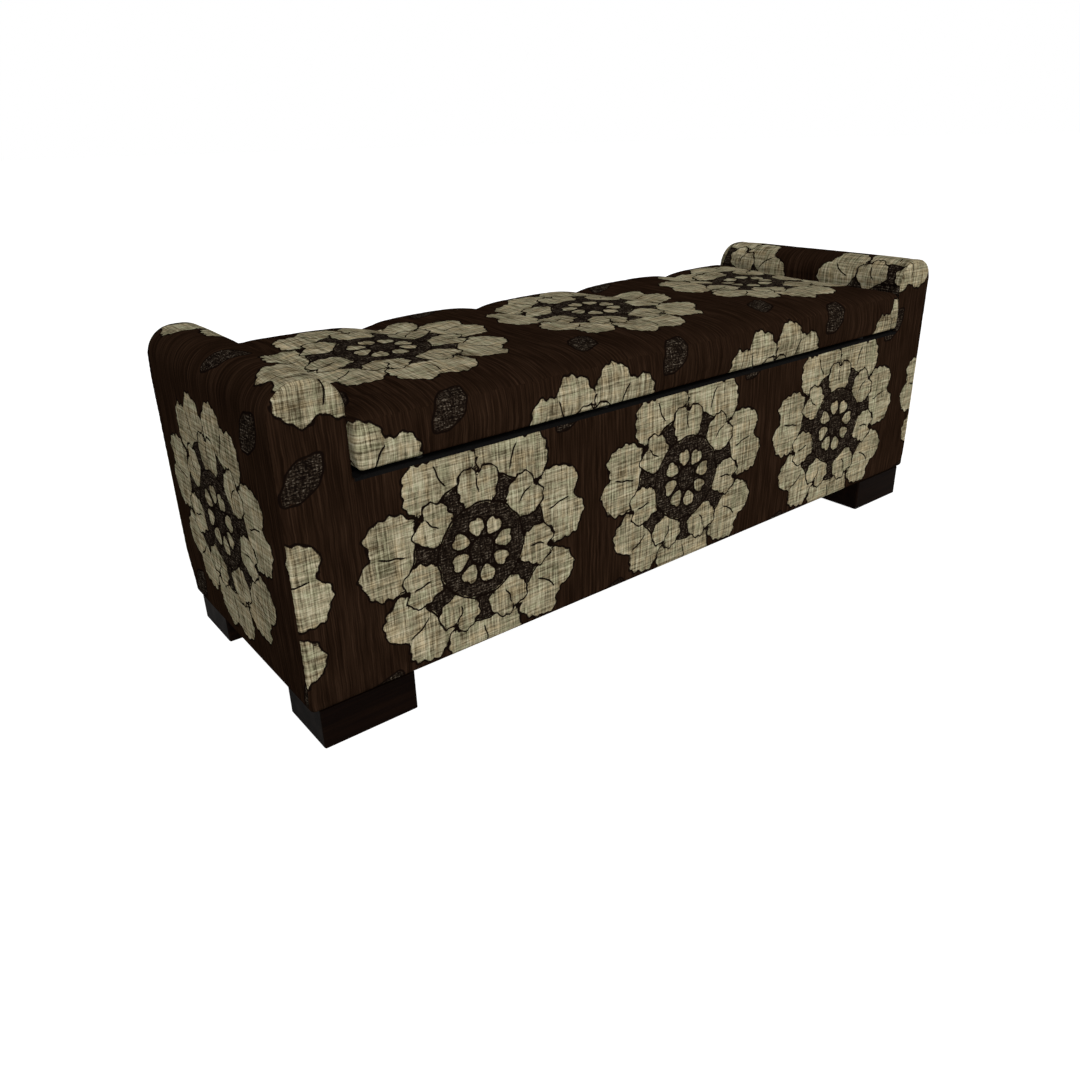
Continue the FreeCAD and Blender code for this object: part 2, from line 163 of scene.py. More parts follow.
def spline(pts, n=8, closed=True):
    """Catmull-Rom through the points."""
    P = np.array(pts, float)
    out = []
    m = len(P)
    for i in range(m if closed else m - 1):
        if closed:
            a, b, c, d = P[(i - 1) % m], P[i], P[(i + 1) % m], P[(i + 2) % m]
        else:
            a, b, c, d = P[max(i - 1, 0)], P[i], P[i + 1], P[min(i + 2, m - 1)]
        for t in np.linspace(0, 1, n, endpoint=False):
            out.append(0.5 * ((2 * b) + (c - a) * t + (2 * a - 5 * b + 4 * c - d) * t * t + (3 * b - a - 3 * c + d) * t ** 3))
    if not closed:
        out.append(P[-1])
    return np.array(out)


def poly_sdf(X, Y, poly):
    """signed distance to a closed polygon, negative inside"""
    q = np.stack([X.ravel(), Y.ravel()], 1)
    a = poly
    b = np.roll(poly, -1, axis=0)
    best = np.full(len(q), 1e18)
    inside = np.zeros(len(q), bool)
    for (x0, y0), (x1, y1) in zip(a, b):
        ex, ey = x1 - x0, y1 - y0
        L = ex * ex + ey * ey + 1e-12
        t = np.clip(((q[:, 0] - x0) * ex + (q[:, 1] - y0) * ey) / L, 0, 1)
        dx, dy = q[:, 0] - x0 - t * ex, q[:, 1] - y0 - t * ey
        best = np.minimum(best, dx * dx + dy * dy)
        c = ((y0 > q[:, 1]) != (y1 > q[:, 1]))
        if c.any():
            xi = ex * (q[:, 1] - y0) / (ey if abs(ey) > 1e-12 else 1e-12) + x0
            inside ^= c & (q[:, 0] < xi)
    d = np.sqrt(best)
    return np.where(inside, -d, d).reshape(X.shape)


def line_sd(X, Y, line):
    """signed perpendicular distance to an open polyline, and the plain distance"""
    q = np.stack([X.ravel(), Y.ravel()], 1)
    best = np.full(len(q), 1e18)
    sign = np.ones(len(q))
    for (x0, y0), (x1, y1) in zip(line[:-1], line[1:]):
        ex, ey = x1 - x0, y1 - y0
        L = ex * ex + ey * ey + 1e-12
        t = np.clip(((q[:, 0] - x0) * ex + (q[:, 1] - y0) * ey) / L, 0, 1)
        dx, dy = q[:, 0] - x0 - t * ex, q[:, 1] - y0 - t * ey
        d = dx * dx + dy * dy
        s = np.sign(ex * (q[:, 1] - y0) - ey * (q[:, 0] - x0))
        m = d < best
        best = np.where(m, d, best)
        sign = np.where(m, s, sign)
    return (np.sqrt(best) * sign).reshape(X.shape), np.sqrt(best).reshape(X.shape)


# Rings of equal petals round a centre, in millimetres from that centre.
# ("c", ...) pale petals, ("d", ...) dark rough-woven fields, ("v", ...) thin veins.


def spun(pts, angle):
    c, s = math.cos(angle), math.sin(angle)
    return [(x * c - y * s, x * s + y * c) for x, y in pts]


def petal_ring(kind, n, r0, r1, width, turn, notch):
    """n notched petals from radius r0 to r1"""
    out = []
    for k in range(n):
        far = r1 * (1 + 0.035 * math.sin(2.3 * k + 1.0))
        L, w = far - r0, width * (1 + 0.05 * math.sin(1.7 * k))
        half = [(r0 + 0.22 * L, 0.30 * w), (r0 + 0.52 * L, 0.47 * w), (r0 + 0.80 * L, 0.46 * w), (far, 0.24 * w)]
        pts = [(r0, 0.0)] + half + [(far - notch, 0.0)] + [(x, -y) for x, y in half[::-1]]
        a = 2 * math.pi * (k + turn) / n
        out.append((kind, spun(pts, a)))
        if notch > 4:
            out.append(("v", spun([(r0 + 0.50 * L, 0.0), (r0 + 0.64 * L, 2.5), (r0 + 0.78 * L, 0.5)], a), "v"))
    return out


def disc(kind, r):
    return [(kind, [(r * math.cos(2 * math.pi * k / 16), r * math.sin(2 * math.pi * k / 16)) for k in range(16)])]


def leaf(x, y, length, width, angle):
    h = length / 2
    pts = [(-h, 0), (-0.4 * h, 0.42 * width), (0.3 * h, 0.46 * width), (h, 0), (0.3 * h, -0.46 * width), (-0.4 * h, -0.42 * width)]
    return [("d", [(a + x, b + y) for a, b in spun(pts, angle)])]


SHAPES = (petal_ring("c", 7, 70.0, 184.0, 126.0, 0.25, 11.0) + disc("d", 112.0) + petal_ring("c", 7, 56.0, 126.0, 66.0, 0.75, 6.0)
          + disc("d", 72.0) + petal_ring("c", 8, 24.0, 52.0, 26.0, 0.25, 3.0) + disc("d", 20.0)
          + leaf(172, 172, 78, 40, math.pi / 4) + leaf(-172, -172, 78, 40, math.pi / 4))


def build_tile(step=2.0):
    """fields over one repeat: pale (C) and dark (D) signed distances, and the signed distance to the nearest thin line (S)"""
    nu, nv = int(PITCH_U / step), int(PITCH_V / step)
    u = (np.arange(nu) + 0.5) * PITCH_U / nu - 210.0
    v = (np.arange(nv) + 0.5) * PITCH_V / nv + V_LOW
    U, V = np.meshgrid(u, v, indexing="ij")
    # uneven, scalloped outlines: the same wobble bends every shape
    a, b = U * (2 * math.pi / PITCH_U), V * (2 * math.pi / PITCH_V)
    wu = 1.7 * np.sin(9 * b + 2 * np.sin(3 * a)) + 0.9 * np.sin(19 * b + 5 * a + 1.3)
    wv = 1.7 * np.sin(10 * a + 2 * np.cos(3 * b)) + 0.9 * np.sin(21 * a - 6 * b + 0.7)
    U0, V0 = U + 0.6 * wu, V + 0.6 * wv
    # little teeth along every petal's edge
    wu = wu + 3.6 * (np.abs(np.sin(12 * b + 1.5 * np.sin(5 * a))) - 0.6) + 0.5 * np.sin(33 * b - 9 * a)
    wv = wv + 3.6 * (np.abs(np.sin(13 * a + 1.5 * np.sin(4 * b))) - 0.6) + 0.5 * np.sin(31 * a + 11 * b)
    U1, V1 = U + wu, V + wv
    C = np.full(U.shape, 60.0)
    D = np.full(U.shape, 60.0)
    S = np.full(U.shape, 60.0)
    for kind, pts in [(x[0], x[1]) for x in SHAPES]:
        if kind == "v":
            s, far = line_sd(U0, V0, spline(pts, 6, closed=False))
            S = np.where(far < np.abs(S), s * 1.15, S)
            continue
        poly = spline(pts, 6)
        area = 0.5 * abs(np.sum(poly[:, 0] * np.roll(poly[:, 1], -1) - poly[:, 1] * np.roll(poly[:, 0], -1)))
        plump = kind == "c" and area > 3000
        U, V = (U1, V1) if plump else (U0, V0)
        d = np.full(U.shape, 1e9)
        for ou in (-PITCH_U, 0, PITCH_U):
            lo, hi = poly.min(0)[0] + ou, poly.max(0)[0] + ou
            if hi < u[0] - 40 or lo > u[-1] + 40:
                continue
            d = np.minimum(d, poly_sdf(U - ou, V, poly))
        if kind == "c":
            C, D = np.minimum(C, d), np.maximum(D, -d)
        else:
            D, C = np.minimum(D, d), np.maximum(C, -d)
        s = d - 1.4
        S = np.where((d < 0) | (np.abs(s) < np.abs(S)), s, S)
    T = np.stack([C, D, S], -1)
    return u[0], v[0], PITCH_U / nu, PITCH_V / nv, np.concatenate([np.clip(T, -CLIP, CLIP), np.clip(np.abs(S), 0, CLIP)[..., None]], -1)


def sample(tile, u, v):
    """the fields at cloth coordinates u, v, counted from one flower's centre"""
    u0, v0, du, dv, T = tile
    nu, nv = T.shape[:2]
    row = np.floor((v - V_LOW) / PITCH_V)
    u = u - SHIFT_U * row
    v = v - PITCH_V * row
    a = (u - u0) / du
    b = np.clip((v - v0) / dv, 0, nv - 1.001)
    i, j = np.floor(a).astype(int), np.floor(b).astype(int)
    fa, fb = (a - i)[..., None], (b - j)[..., None]
    i0, i1, j1 = i % nu, (i + 1) % nu, j + 1
    return (T[i0, j] * (1 - fa) * (1 - fb) + T[i1, j] * fa * (1 - fb) + T[i0, j1] * (1 - fa) * fb + T[i1, j1] * fa * fb)


TILE = build_tile()


def weave(me, A, u0, v0):
    """write the cloth coordinates and the flower's fields; u0, v0 is where one flower's centre falls"""
    u, v = A[:, 0] - u0, A[:, 1] - v0
    R = sample(TILE, u, v)
    add_vec(me, "fab", np.stack([A[:, 0], A[:, 1], R[:, 3]], -1))
    add_vec(me, "pat", R[:, :3])

# ------------------------------------------------------------------ materials


class Nodes:
    def __init__(self, name):
        self.mat = bpy.data.materials.new(name)
        self.mat.use_nodes = True
        self.t = self.mat.node_tree
        self.t.nodes.clear()
        self.out = self.t.nodes.new("ShaderNodeOutputMaterial")
        self.bsdf = self.t.nodes.new("ShaderNodeBsdfPrincipled")
        self.link(self.bsdf.outputs[0], self.out.inputs[0])

    def link(self, a, b):
        self.t.links.new(a, b)

    def put(self, sock, v):
        if isinstance(v, bpy.types.NodeSocket):
            self.link(v, sock)
        elif v is not None:
            sock.default_value = v

    def attr(self, name):
        n = self.t.nodes.new("ShaderNodeAttribute")
        n.attribute_name = name
        return n.outputs["Vector"]

    def obj(self):
        return self.t.nodes.new("ShaderNodeTexCoord").outputs["Object"]

    def sep(self, v):
        n = self.t.nodes.new("ShaderNodeSeparateXYZ")
        self.put(n.inputs[0], v)
        return n.outputs

    def comb(self, x=0.0, y=0.0, z=0.0):
        n = self.t.nodes.new("ShaderNodeCombineXYZ")
        for s, v in zip(n.inputs, (x, y, z)):
            self.put(s, v)
        return n.outputs[0]

    def m(self, op, a, b=None, c=None, clamp=False):
        n = self.t.nodes.new("ShaderNodeMath")
        n.operation = op
        n.use_clamp = clamp
        for s, v in zip(n.inputs, (a, b, c)):
            self.put(s, v)
        return n.outputs[0]

    def scale(self, v, s):
        n = self.t.nodes.new("ShaderNodeVectorMath")
        n.operation = "MULTIPLY"
        self.put(n.inputs[0], v)
        self.put(n.inputs[1], s)
        return n.outputs[0]

    def noise(self, v, scale=1.0, detail=2.0, rough=0.5, distort=0.0, color=False):
        n = self.t.nodes.new("ShaderNodeTexNoise")
        self.put(n.inputs["Vector"], v)
        n.inputs["Scale"].default_value = scale
        n.inputs["Detail"].default_value = detail
        n.inputs["Roughness"].default_value = rough
        n.inputs["Distortion"].default_value = distort
        return n.outputs[1 if color else 0]

    def remap(self, v, a, b, c=0.0, d=1.0, kind="LINEAR"):
        n = self.t.nodes.new("ShaderNodeMapRange")
        n.interpolation_type = kind
        self.put(n.inputs[0], v)
        for s, x in zip(list(n.inputs)[1:5], (a, b, c, d)):
            self.put(s, x)
        return n.outputs[0]

    def ramp(self, v, stops):
        n = self.t.nodes.new("ShaderNodeValToRGB")
        e = n.color_ramp.elements
        while len(e) < len(stops):
            e.new(0.5)
        for el, (p, c) in zip(e, stops):
            el.position = p
            el.color = (*c, 1.0)
        self.put(n.inputs[0], v)
        return n.outputs[0]

    def mix(self, f, a, b, kind="MIX"):
        n = self.t.nodes.new("ShaderNodeMix")
        n.data_type = "RGBA"
        n.blend_type = kind
        self.put(n.inputs[0], f)
        for s, v in ((n.inputs[6], a), (n.inputs[7], b)):
            if isinstance(v, tuple):
                v = (*v, 1.0)
            self.put(s, v)
        return n.outputs[2]

    def lerp(self, f, a, b):
        n = self.t.nodes.new("ShaderNodeMix")
        n.data_type = "FLOAT"
        self.put(n.inputs[0], f)
        self.put(n.inputs[2], a)
        self.put(n.inputs[3], b)
        return n.outputs[0]

    def bump(self, h, dist, strength=1.0, normal=None):
        n = self.t.nodes.new("ShaderNodeBump")
        n.inputs["Strength"].default_value = strength
        n.inputs["Distance"].default_value = dist
        self.put(n.inputs["Height"], h)
        if normal is not None:
            self.put(n.inputs["Normal"], normal)
        return n.outputs[0]

    def done(self, color, rough, normal=None, **kw):
        b = self.bsdf.inputs
        self.put(b["Base Color"], (*color, 1.0) if isinstance(color, tuple) else color)
        self.put(b["Roughness"], rough)
        if normal is not None:
            self.put(b["Normal"], normal)
        for k, v in kw.items():
            b[k.replace("_", " ")].default_value = v
        return self.mat


def fabric_material():
    """three-zone jacquard: satin ribbed ground, slubby linen-like petals, rough dark fields, thin dark outlines"""
    n = Nodes("floral_jacquard")
    fu, fv, far = n.sep(n.attr("fab"))
    C, D, S = n.sep(n.attr("pat"))
    uv = n.comb(fu, fv, 0.0)
    mid = lambda v: n.m("SUBTRACT", v, 0.5)
    # edges step from thread to thread
    j1 = mid(n.noise(uv, 0.11, 1.0, 0.5))
    j2 = mid(n.noise(n.scale(uv, (0.75, 0.32, 1.0)), 1.0, 2.0, 0.6))
    jit = n.m("ADD", n.m("MULTIPLY", j1, 6.5), n.m("MULTIPLY", j2, 4.0))
    pale = n.remap(n.m("ADD", C, jit), 0.45, -0.45)
    dark = n.remap(n.m("ADD", D, jit), 0.6, -0.6)
    line_w = n.m("ADD", 1.5, n.m("MULTIPLY", j2, 1.5))
    line = n.m("MULTIPLY", n.remap(n.m("SUBTRACT", n.m("ABSOLUTE", S), line_w), 0.4, -0.4), n.remap(far, 5.0, 3.6))

    # slubs run both ways through the pale yarn
    sv = n.noise(n.scale(uv, (0.30, 0.0135, 1.0)), 1.0, 3.0, 0.66)
    sh = n.noise(n.scale(uv, (0.0125, 0.27, 1.0)), 1.0, 3.0, 0.66)
    tv = n.noise(n.scale(uv, (0.95, 0.07, 1.0)), 1.0, 1.0, 0.5)
    th = n.noise(n.scale(uv, (0.065, 0.95, 1.0)), 1.0, 1.0, 0.5)
    grain = n.noise(uv, 0.8, 2.0, 0.7)
    big = n.noise(uv, 0.016, 2.0, 0.5)
    two_pi = 2 * math.pi
    wu = n.m("SINE", n.m("MULTIPLY", fu, two_pi / 1.6))
    wv = n.m("SINE", n.m("MULTIPLY", fv, two_pi / 1.6))
    weave_h = n.m("MULTIPLY", wu, wv)

    s = n.m("ADD", n.m("MULTIPLY", mid(sv), 1.05), n.m("MULTIPLY", mid(sh), 0.85))
    s = n.m("ADD", s, n.m("ADD", n.m("MULTIPLY", mid(tv), 0.42), n.m("MULTIPLY", mid(th), 0.42)))
    s = n.m("ADD", s, n.m("ADD", n.m("MULTIPLY", mid(grain), 0.22), n.m("MULTIPLY", mid(big), 0.35)))
    s = n.m("ADD", n.m("ADD", s, n.m("MULTIPLY", weave_h, 0.015)), 0.5)
    cream = n.ramp(s, [(0.22, (0.064, 0.050, 0.029)), (0.36, (0.163, 0.137, 0.084)), (0.48, (0.321, 0.280, 0.179)), (0.60, (0.478, 0.424, 0.283)), (0.76, (0.710, 0.644, 0.465))])
    t1 = n.noise(n.scale(uv, (0.12, 0.010, 1.0)), 1.0, 1.0, 0.5)
    t2 = n.noise(n.scale(uv, (0.010, 0.10, 1.0)), 1.0, 1.0, 0.5)
    tint = n.m("MULTIPLY", n.m("ADD", t1, t2), 0.5)
    cream = n.mix(1.0, cream, n.ramp(tint, [(0.38, (0.93, 1.00, 0.96)), (0.50, (1.0, 1.0, 1.0)), (0.62, (1.05, 0.98, 0.90))]), "MULTIPLY")

    # wavering satin ribs
    wav = n.m("MULTIPLY", mid(n.noise(n.scale(uv, (0.02, 0.03, 1.0)), 1.0, 2.0, 0.5)), 5.0)
    ru = n.m("ADD", fu, wav)
    rib = n.noise(n.comb(n.m("MULTIPLY", ru, 0.27), n.m("MULTIPLY", fv, 0.009), 0.0), 1.0, 3.0, 0.62)
    ribf = n.m("SINE", n.m("MULTIPLY", ru, two_pi / 3.1))
    g = n.m("ADD", rib, n.m("MULTIPLY", ribf, 0.03))
    g = n.m("ADD", g, n.m("ADD", n.m("MULTIPLY", mid(grain), 0.10), n.m("MULTIPLY", mid(big), 0.15)))
    ground = n.ramp(g, [(0.30, (0.0100, 0.0051, 0.0029)), (0.46, (0.0175, 0.0089, 0.0050)), (0.58, (0.0275, 0.0143, 0.0082)), (0.76, (0.0480, 0.0260, 0.0155))])

    # short raised floats in rows over the dark fields
    f1 = n.noise(n.scale(uv, (0.055, 0.36, 1.0)), 1.0, 2.0, 0.6)
    f2 = n.noise(n.scale(uv, (0.34, 0.06, 1.0)), 1.0, 2.0, 0.6)
    f3 = n.noise(n.scale(uv, (0.30, 0.62, 1.0)), 1.0, 1.0, 0.5)
    fl = n.m("ADD", n.m("ADD", n.m("MULTIPLY", mid(f1), 0.9), n.m("MULTIPLY", mid(f2), 0.95)), n.m("ADD", n.m("MULTIPLY", mid(f3), 1.1), 0.5))
    fl = n.m("ADD", fl, n.m("MULTIPLY", n.m("SINE", n.m("MULTIPLY", fv, two_pi / 4.6)), 0.05))
    rough_dark = n.ramp(fl, [(0.30, (0.0060, 0.0038, 0.0030)), (0.50, (0.0150, 0.0098, 0.0066)), (0.60, (0.0300, 0.0210, 0.0145)), (0.72, (0.0720, 0.0560, 0.0410)), (0.86, (0.170, 0.143, 0.110))])

    col = n.mix(dark, ground, rough_dark)
    col = n.mix(pale, col, cream)
    col = n.mix(line, col, (0.0075, 0.0042, 0.0030))
    ro = n.lerp(dark, 0.56, 0.75)
    ro = n.lerp(pale, ro, 0.70)
    ro = n.m("ADD", ro, n.m("MULTIPLY", mid(grain), 0.12))
    hg = n.m("ADD", n.m("MULTIPLY", ribf, 0.10), n.m("MULTIPLY", rib, 0.8))
    hc = n.m("ADD", n.m("MULTIPLY", weave_h, 0.12), n.m("ADD", n.m("MULTIPLY", s, 1.3), 0.30))
    hd = n.m("ADD", n.m("MULTIPLY", fl, 1.8), -0.3)
    h = n.lerp(dark, hg, hd)
    h = n.lerp(pale, h, hc)
    h = n.lerp(line, h, -0.05)
    nrm = n.bump(h, 0.0008, 0.9)
    return n.done(col, ro, nrm, Specular_IOR_Level=0.0)


def cloth_material(name, dark, light, size=1.1, rough=0.85, spec=0.2, dots=False):
    """plain-woven or bonded cloth, read from the piece's own fabric coordinates"""
    n = Nodes(name)
    fu, fv, _ = n.sep(n.attr("fab"))
    uv = n.comb(fu, fv, 0.0)
    w = 2 * math.pi / size
    wv = n.m("MULTIPLY", n.m("SINE", n.m("MULTIPLY", fu, w)), n.m("SINE", n.m("MULTIPLY", fv, w)))
    g = n.noise(uv, 0.5, 3.0, 0.6)
    big = n.noise(uv, 0.012, 3.0, 0.55)
    s = n.m("ADD", n.m("MULTIPLY", wv, 0.12), n.m("ADD", n.m("MULTIPLY", g, 0.6), n.m("MULTIPLY", big, 0.4)))
    col = n.ramp(s, [(0.25, dark), (0.75, light)])
    nrm = n.bump(s, 0.0004, 0.6)
    return n.done(col, n.m("ADD", rough - 0.05, n.m("MULTIPLY", g, 0.12)), nrm, Specular_IOR_Level=spec)


def wood_material(name, stops, axis, scale=1.0, rough=(0.3, 0.45), bump=0.0003, coat=0.0, spec=0.18):
    """long grain along one axis, with pores and growth bands"""
    n = Nodes(name)
    o = n.obj()
    k = [55.0 * scale] * 3
    k[axis] = 2.6 * scale
    g = n.noise(n.scale(o, tuple(k)), 1.0, 5.0, 0.62, 0.35)
    k2 = [420.0 * scale] * 3
    k2[axis] = 9.0 * scale
    p = n.noise(n.scale(o, tuple(k2)), 1.0, 3.0, 0.6)
    b = n.noise(n.scale(o, tuple(c * 0.25 for c in k)), 1.0, 2.0, 0.5, 0.6)
    s = n.m("ADD", n.m("ADD", n.m("MULTIPLY", g, 0.5), n.m("MULTIPLY", p, 0.28)), n.m("MULTIPLY", b, 0.22))
    col = n.ramp(s, stops)
    ro = n.remap(s, 0.3, 0.7, rough[1], rough[0])
    return n.done(col, ro, n.bump(s, bump, 0.6), Coat_Weight=coat, Coat_Roughness=0.25, Specular_IOR_Level=spec)


def ply_material():
    """birch ply: veneer grain, and a drift of darker plies"""
    n = Nodes("birch_ply")
    o = n.obj()
    g = n.noise(n.scale(o, (4.0, 70.0, 70.0)), 1.0, 5.0, 0.6, 0.4)
    p = n.noise(n.scale(o, (12.0, 500.0, 500.0)), 1.0, 2.0, 0.6)
    s = n.m("ADD", n.m("MULTIPLY", g, 0.7), n.m("MULTIPLY", p, 0.3))
    col = n.ramp(s, [(0.3, (0.36, 0.235, 0.125)), (0.5, (0.53, 0.385, 0.235)), (0.72, (0.66, 0.51, 0.34))])
    return n.done(col, n.remap(s, 0.3, 0.7, 0.6, 0.45), n.bump(s, 0.0003, 0.5))


def metal_material(name, base, rough=(0.22, 0.42), brushed=(900.0, 900.0, 30.0), metallic=1.0):
    n = Nodes(name)
    o = n.obj()
    a = n.noise(n.scale(o, brushed), 1.0, 3.0, 0.6)
    b = n.noise(o, 60.0, 3.0, 0.6)
    s = n.m("ADD", n.m("MULTIPLY", a, 0.6), n.m("MULTIPLY", b, 0.4))
    col = n.mix(s, tuple(c * 0.78 for c in base), tuple(min(1.0, c * 1.12) for c in base))
    return n.done(col, n.remap(s, 0.25, 0.75, rough[0], rough[1]), n.bump(a, 0.00004, 0.5), Metallic=metallic)


def plain_material(name, a, b, rough=(0.45, 0.6), scale=180.0, bump=0.00015, spec=0.4):
    """moulded plastic or rubber with a fine moulded texture"""
    n = Nodes(name)
    o = n.obj()
    s = n.noise(o, scale, 4.0, 0.6)
    f = n.noise(o, scale * 8, 2.0, 0.5)
    col = n.mix(s, a, b)
    return n.done(col, n.remap(f, 0.3, 0.7, rough[0], rough[1]), n.bump(f, bump, 0.6), Specular_IOR_Level=spec)


def foam_material():
    n = Nodes("open_cell_foam")
    o = n.obj()
    v = n.t.nodes.new("ShaderNodeTexVoronoi")
    n.put(v.inputs["Vector"], o)
    v.inputs["Scale"].default_value = 900.0
    s = n.noise(o, 30.0, 3.0, 0.6)
    col = n.mix(s, (0.62, 0.56, 0.40), (0.74, 0.69, 0.54))
    return n.done(col, 0.95, n.bump(v.outputs[0], 0.0006, 0.7), Specular_IOR_Level=0.1)


FABRIC = fabric_material()
LINING = cloth_material("lining_cloth", (0.010, 0.009, 0.009), (0.034, 0.031, 0.031), 1.6, 0.86)
# painted shade: near-black cloth for the front rim, where the gap under the lid falls in shadow
RIM_SHADE_CLOTH = cloth_material("rim_facing", (0.0035, 0.0033, 0.0033), (0.010, 0.0095, 0.0095), 0.9, 0.9, 0.02)
CAMBRIC = cloth_material("dust_cloth", (0.012, 0.011, 0.011), (0.040, 0.038, 0.038), 1.0, 0.9)
FOOT = wood_material("espresso_wood", [(0.25, (0.0016, 0.0007, 0.0005)), (0.48, (0.0040, 0.0017, 0.0010)), (0.62, (0.0095, 0.0040, 0.0020)), (0.80, (0.021, 0.0095, 0.0045))], 0, 1.0, (0.36, 0.52), 0.00022, 0.0, 0.05)
PINE = wood_material("planed_pine", [(0.28, (0.33, 0.185, 0.085)), (0.48, (0.52, 0.345, 0.185)), (0.70, (0.66, 0.48, 0.29))], 2, 0.9, (0.45, 0.6))
BEECH = wood_material("beech_dowel", [(0.3, (0.40, 0.25, 0.14)), (0.7, (0.60, 0.42, 0.27))], 2, 1.6, (0.45, 0.6))
PLY = ply_material()
ZINC = metal_material("zinc_steel", (0.62, 0.61, 0.58))
NICKEL = metal_material("nickel_steel", (0.60, 0.57, 0.53), (0.18, 0.36), (30.0, 900.0, 900.0))
NYLON = plain_material("nylon", (0.66, 0.64, 0.59), (0.74, 0.72, 0.68))
RUBBER = plain_material("rubber", (0.012, 0.012, 0.012), (0.022, 0.021, 0.020), (0.6, 0.75), 90.0, 0.0003, 0.3)
FOAM = foam_material()

BY_SLOT = {"upholstery": FABRIC, "foam": FOAM, "foot_wood": FOOT, "plywood": PLY, "softwood": PINE, "beech": BEECH,
           "steel": ZINC, "hinge_steel": NICKEL, "nylon": NYLON, "rubber": RUBBER, "lining": LINING}
for sub in frame["record"]["subparts"]:
    ob = frame["nodes"][sub["node"]]
    ob = bpy.data.objects[ob] if isinstance(ob, str) else ob
    if not ob.material_slots:
        ob.data.materials.append(None)
    for sl in ob.material_slots:
        sl.link = "OBJECT"
        sl.material = BY_SLOT[sub["material_slot"]]

# ------------------------------------------------------------------ cloth simulation


def puffed(P, pin, top, pressure=3.0, frames=16, slack=0.02, stiff=12.0, bend=0.4):
    """Blow a coarse grid of cloth outwards from where it is pinned. P is (n, m, 3) mm with its normals outwards, pin (n, m)
    from 0, free, to 1, sewn down."""
    n, m = P.shape[:2]
    me = bpy.data.meshes.new("sim")
    i = np.arange(n * m).reshape(n, m)
    quads = np.stack([i[:-1, :-1], i[1:, :-1], i[1:, 1:], i[:-1, 1:]], -1).reshape(-1, 4)
    me.from_pydata((P.reshape(-1, 3) * MM).tolist(), [], quads.tolist())
    me.update()
    ob = bpy.data.objects.new("sim", me)
    bpy.context.scene.collection.objects.link(ob)
    g = ob.vertex_groups.new(name="pin")
    w = pin.ravel()
    for k in np.nonzero(w > 0.001)[0]:
        g.add([int(k)], float(w[k]), "REPLACE")
    mod = ob.modifiers.new("cloth", "CLOTH")
    st = mod.settings
    st.quality = 6
    st.mass = 0.35
    st.tension_stiffness = st.compression_stiffness = stiff
    st.shear_stiffness = stiff * 0.4
    st.bending_stiffness = bend
    st.tension_damping = st.compression_damping = st.shear_damping = 12.0
    st.air_damping = 6.0
    st.vertex_group_mass = "pin"
    st.pin_stiffness = 1.0
    st.shrink_min = -slack
    st.use_pressure = True
    st.uniform_pressure_force = pressure
    st.effector_weights.gravity = 0.0
    mod.collision_settings.use_collision = False
    mod.collision_settings.use_self_collision = False
    mod.point_cache.frame_start, mod.point_cache.frame_end = 1, frames
    sc = bpy.context.scene
    for f in range(1, frames + 1):
        sc.frame_set(f)
    ev = ob.evaluated_get(bpy.context.evaluated_depsgraph_get())
    co = np.empty(n * m * 3, np.float32)
    ev.data.vertices.foreach_get("co", co)
    D = co.reshape(n, m, 3).astype(float) / MM - P
    D *= top / max(float(np.percentile(np.linalg.norm(D, axis=-1), 97)), 1e-6)
    L = np.linalg.norm(D, axis=-1, keepdims=True)
    D *= np.minimum(1.0, 1.25 * top / np.maximum(L, 1e-9))
    bpy.data.objects.remove(ob)
    bpy.data.meshes.remove(me)
    sc.frame_set(1)
    return D


def spread(D, a, b, fa, fb):
    """bicubic reading of a coarse grid D, with axes a and b, at fine points fa, fb (same shape)"""
    def w(t):
        return np.stack([-0.5 * t + t * t - 0.5 * t ** 3, 1 - 2.5 * t * t + 1.5 * t ** 3, 0.5 * t + 2 * t * t - 1.5 * t ** 3, -0.5 * t * t + 0.5 * t ** 3], -1)
    n, m = D.shape[:2]
    pa = np.interp(fa, a, np.arange(n))
    pb = np.interp(fb, b, np.arange(m))
    i, j = np.minimum(pa.astype(int), n - 2), np.minimum(pb.astype(int), m - 2)
    wa, wb = w(pa - i), w(pb - j)
    out = np.zeros(fa.shape + D.shape[2:])
    for x in range(4):
        for y in range(4):
            k = wa[..., x] * wb[..., y]
            v = D[np.clip(i + x - 1, 0, n - 1), np.clip(j + y - 1, 0, m - 1)]
            out = out + (k[..., None] * v if v.ndim > k.ndim else k * v)
    return out


def sewn(n, m, sides="lrbt"):
    """pins round a grid's edges: l and r are the first and last rows, b and t the first and last columns"""
    p = np.zeros((n, m))
    if "l" in sides:
        p[0] = 1
    if "r" in sides:
        p[-1] = 1
    if "b" in sides:
        p[:, 0] = 1
    if "t" in sides:
        p[:, -1] = 1
    return p

# ------------------------------------------------------------------ sizes, from the frame


def mm_box(node):
    lo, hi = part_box(node)
    return [float(c) / MM for c in lo], [float(c) / MM for c in hi]


(_, fy0, fz0), (FX1, _, ARM_Z) = mm_box("front_cover")
FY = -fy0                              # front skin, 238
X1 = FX1                               # outer skin of the arms, 700
(_a, _b, _c), (_d, BY, _e) = mm_box("back_cover")
arm_lo, arm_hi = mm_box("right_arm_cover")
XI = arm_lo[0]                         # inner skin of the arms, 602
R_ARM = 42.0
Z0 = fz0 - 0.5                         # under edge of the covers
ZG = mm_box("front_board")[1][2] + 1.5  # top edge of the low front, 376
band_lo, band_hi = mm_box("lid_band")
LX, LY0, LY1, LZ0 = band_hi[0] - 3.0, band_lo[1], band_hi[1], band_lo[2]
LZS = 448.0                            # seam between band and lid top
ZB = Z0 + 8.0                          # where the bottom corner's rounding ends

# ------------------------------------------------------------------ outline of the body, seen from the front


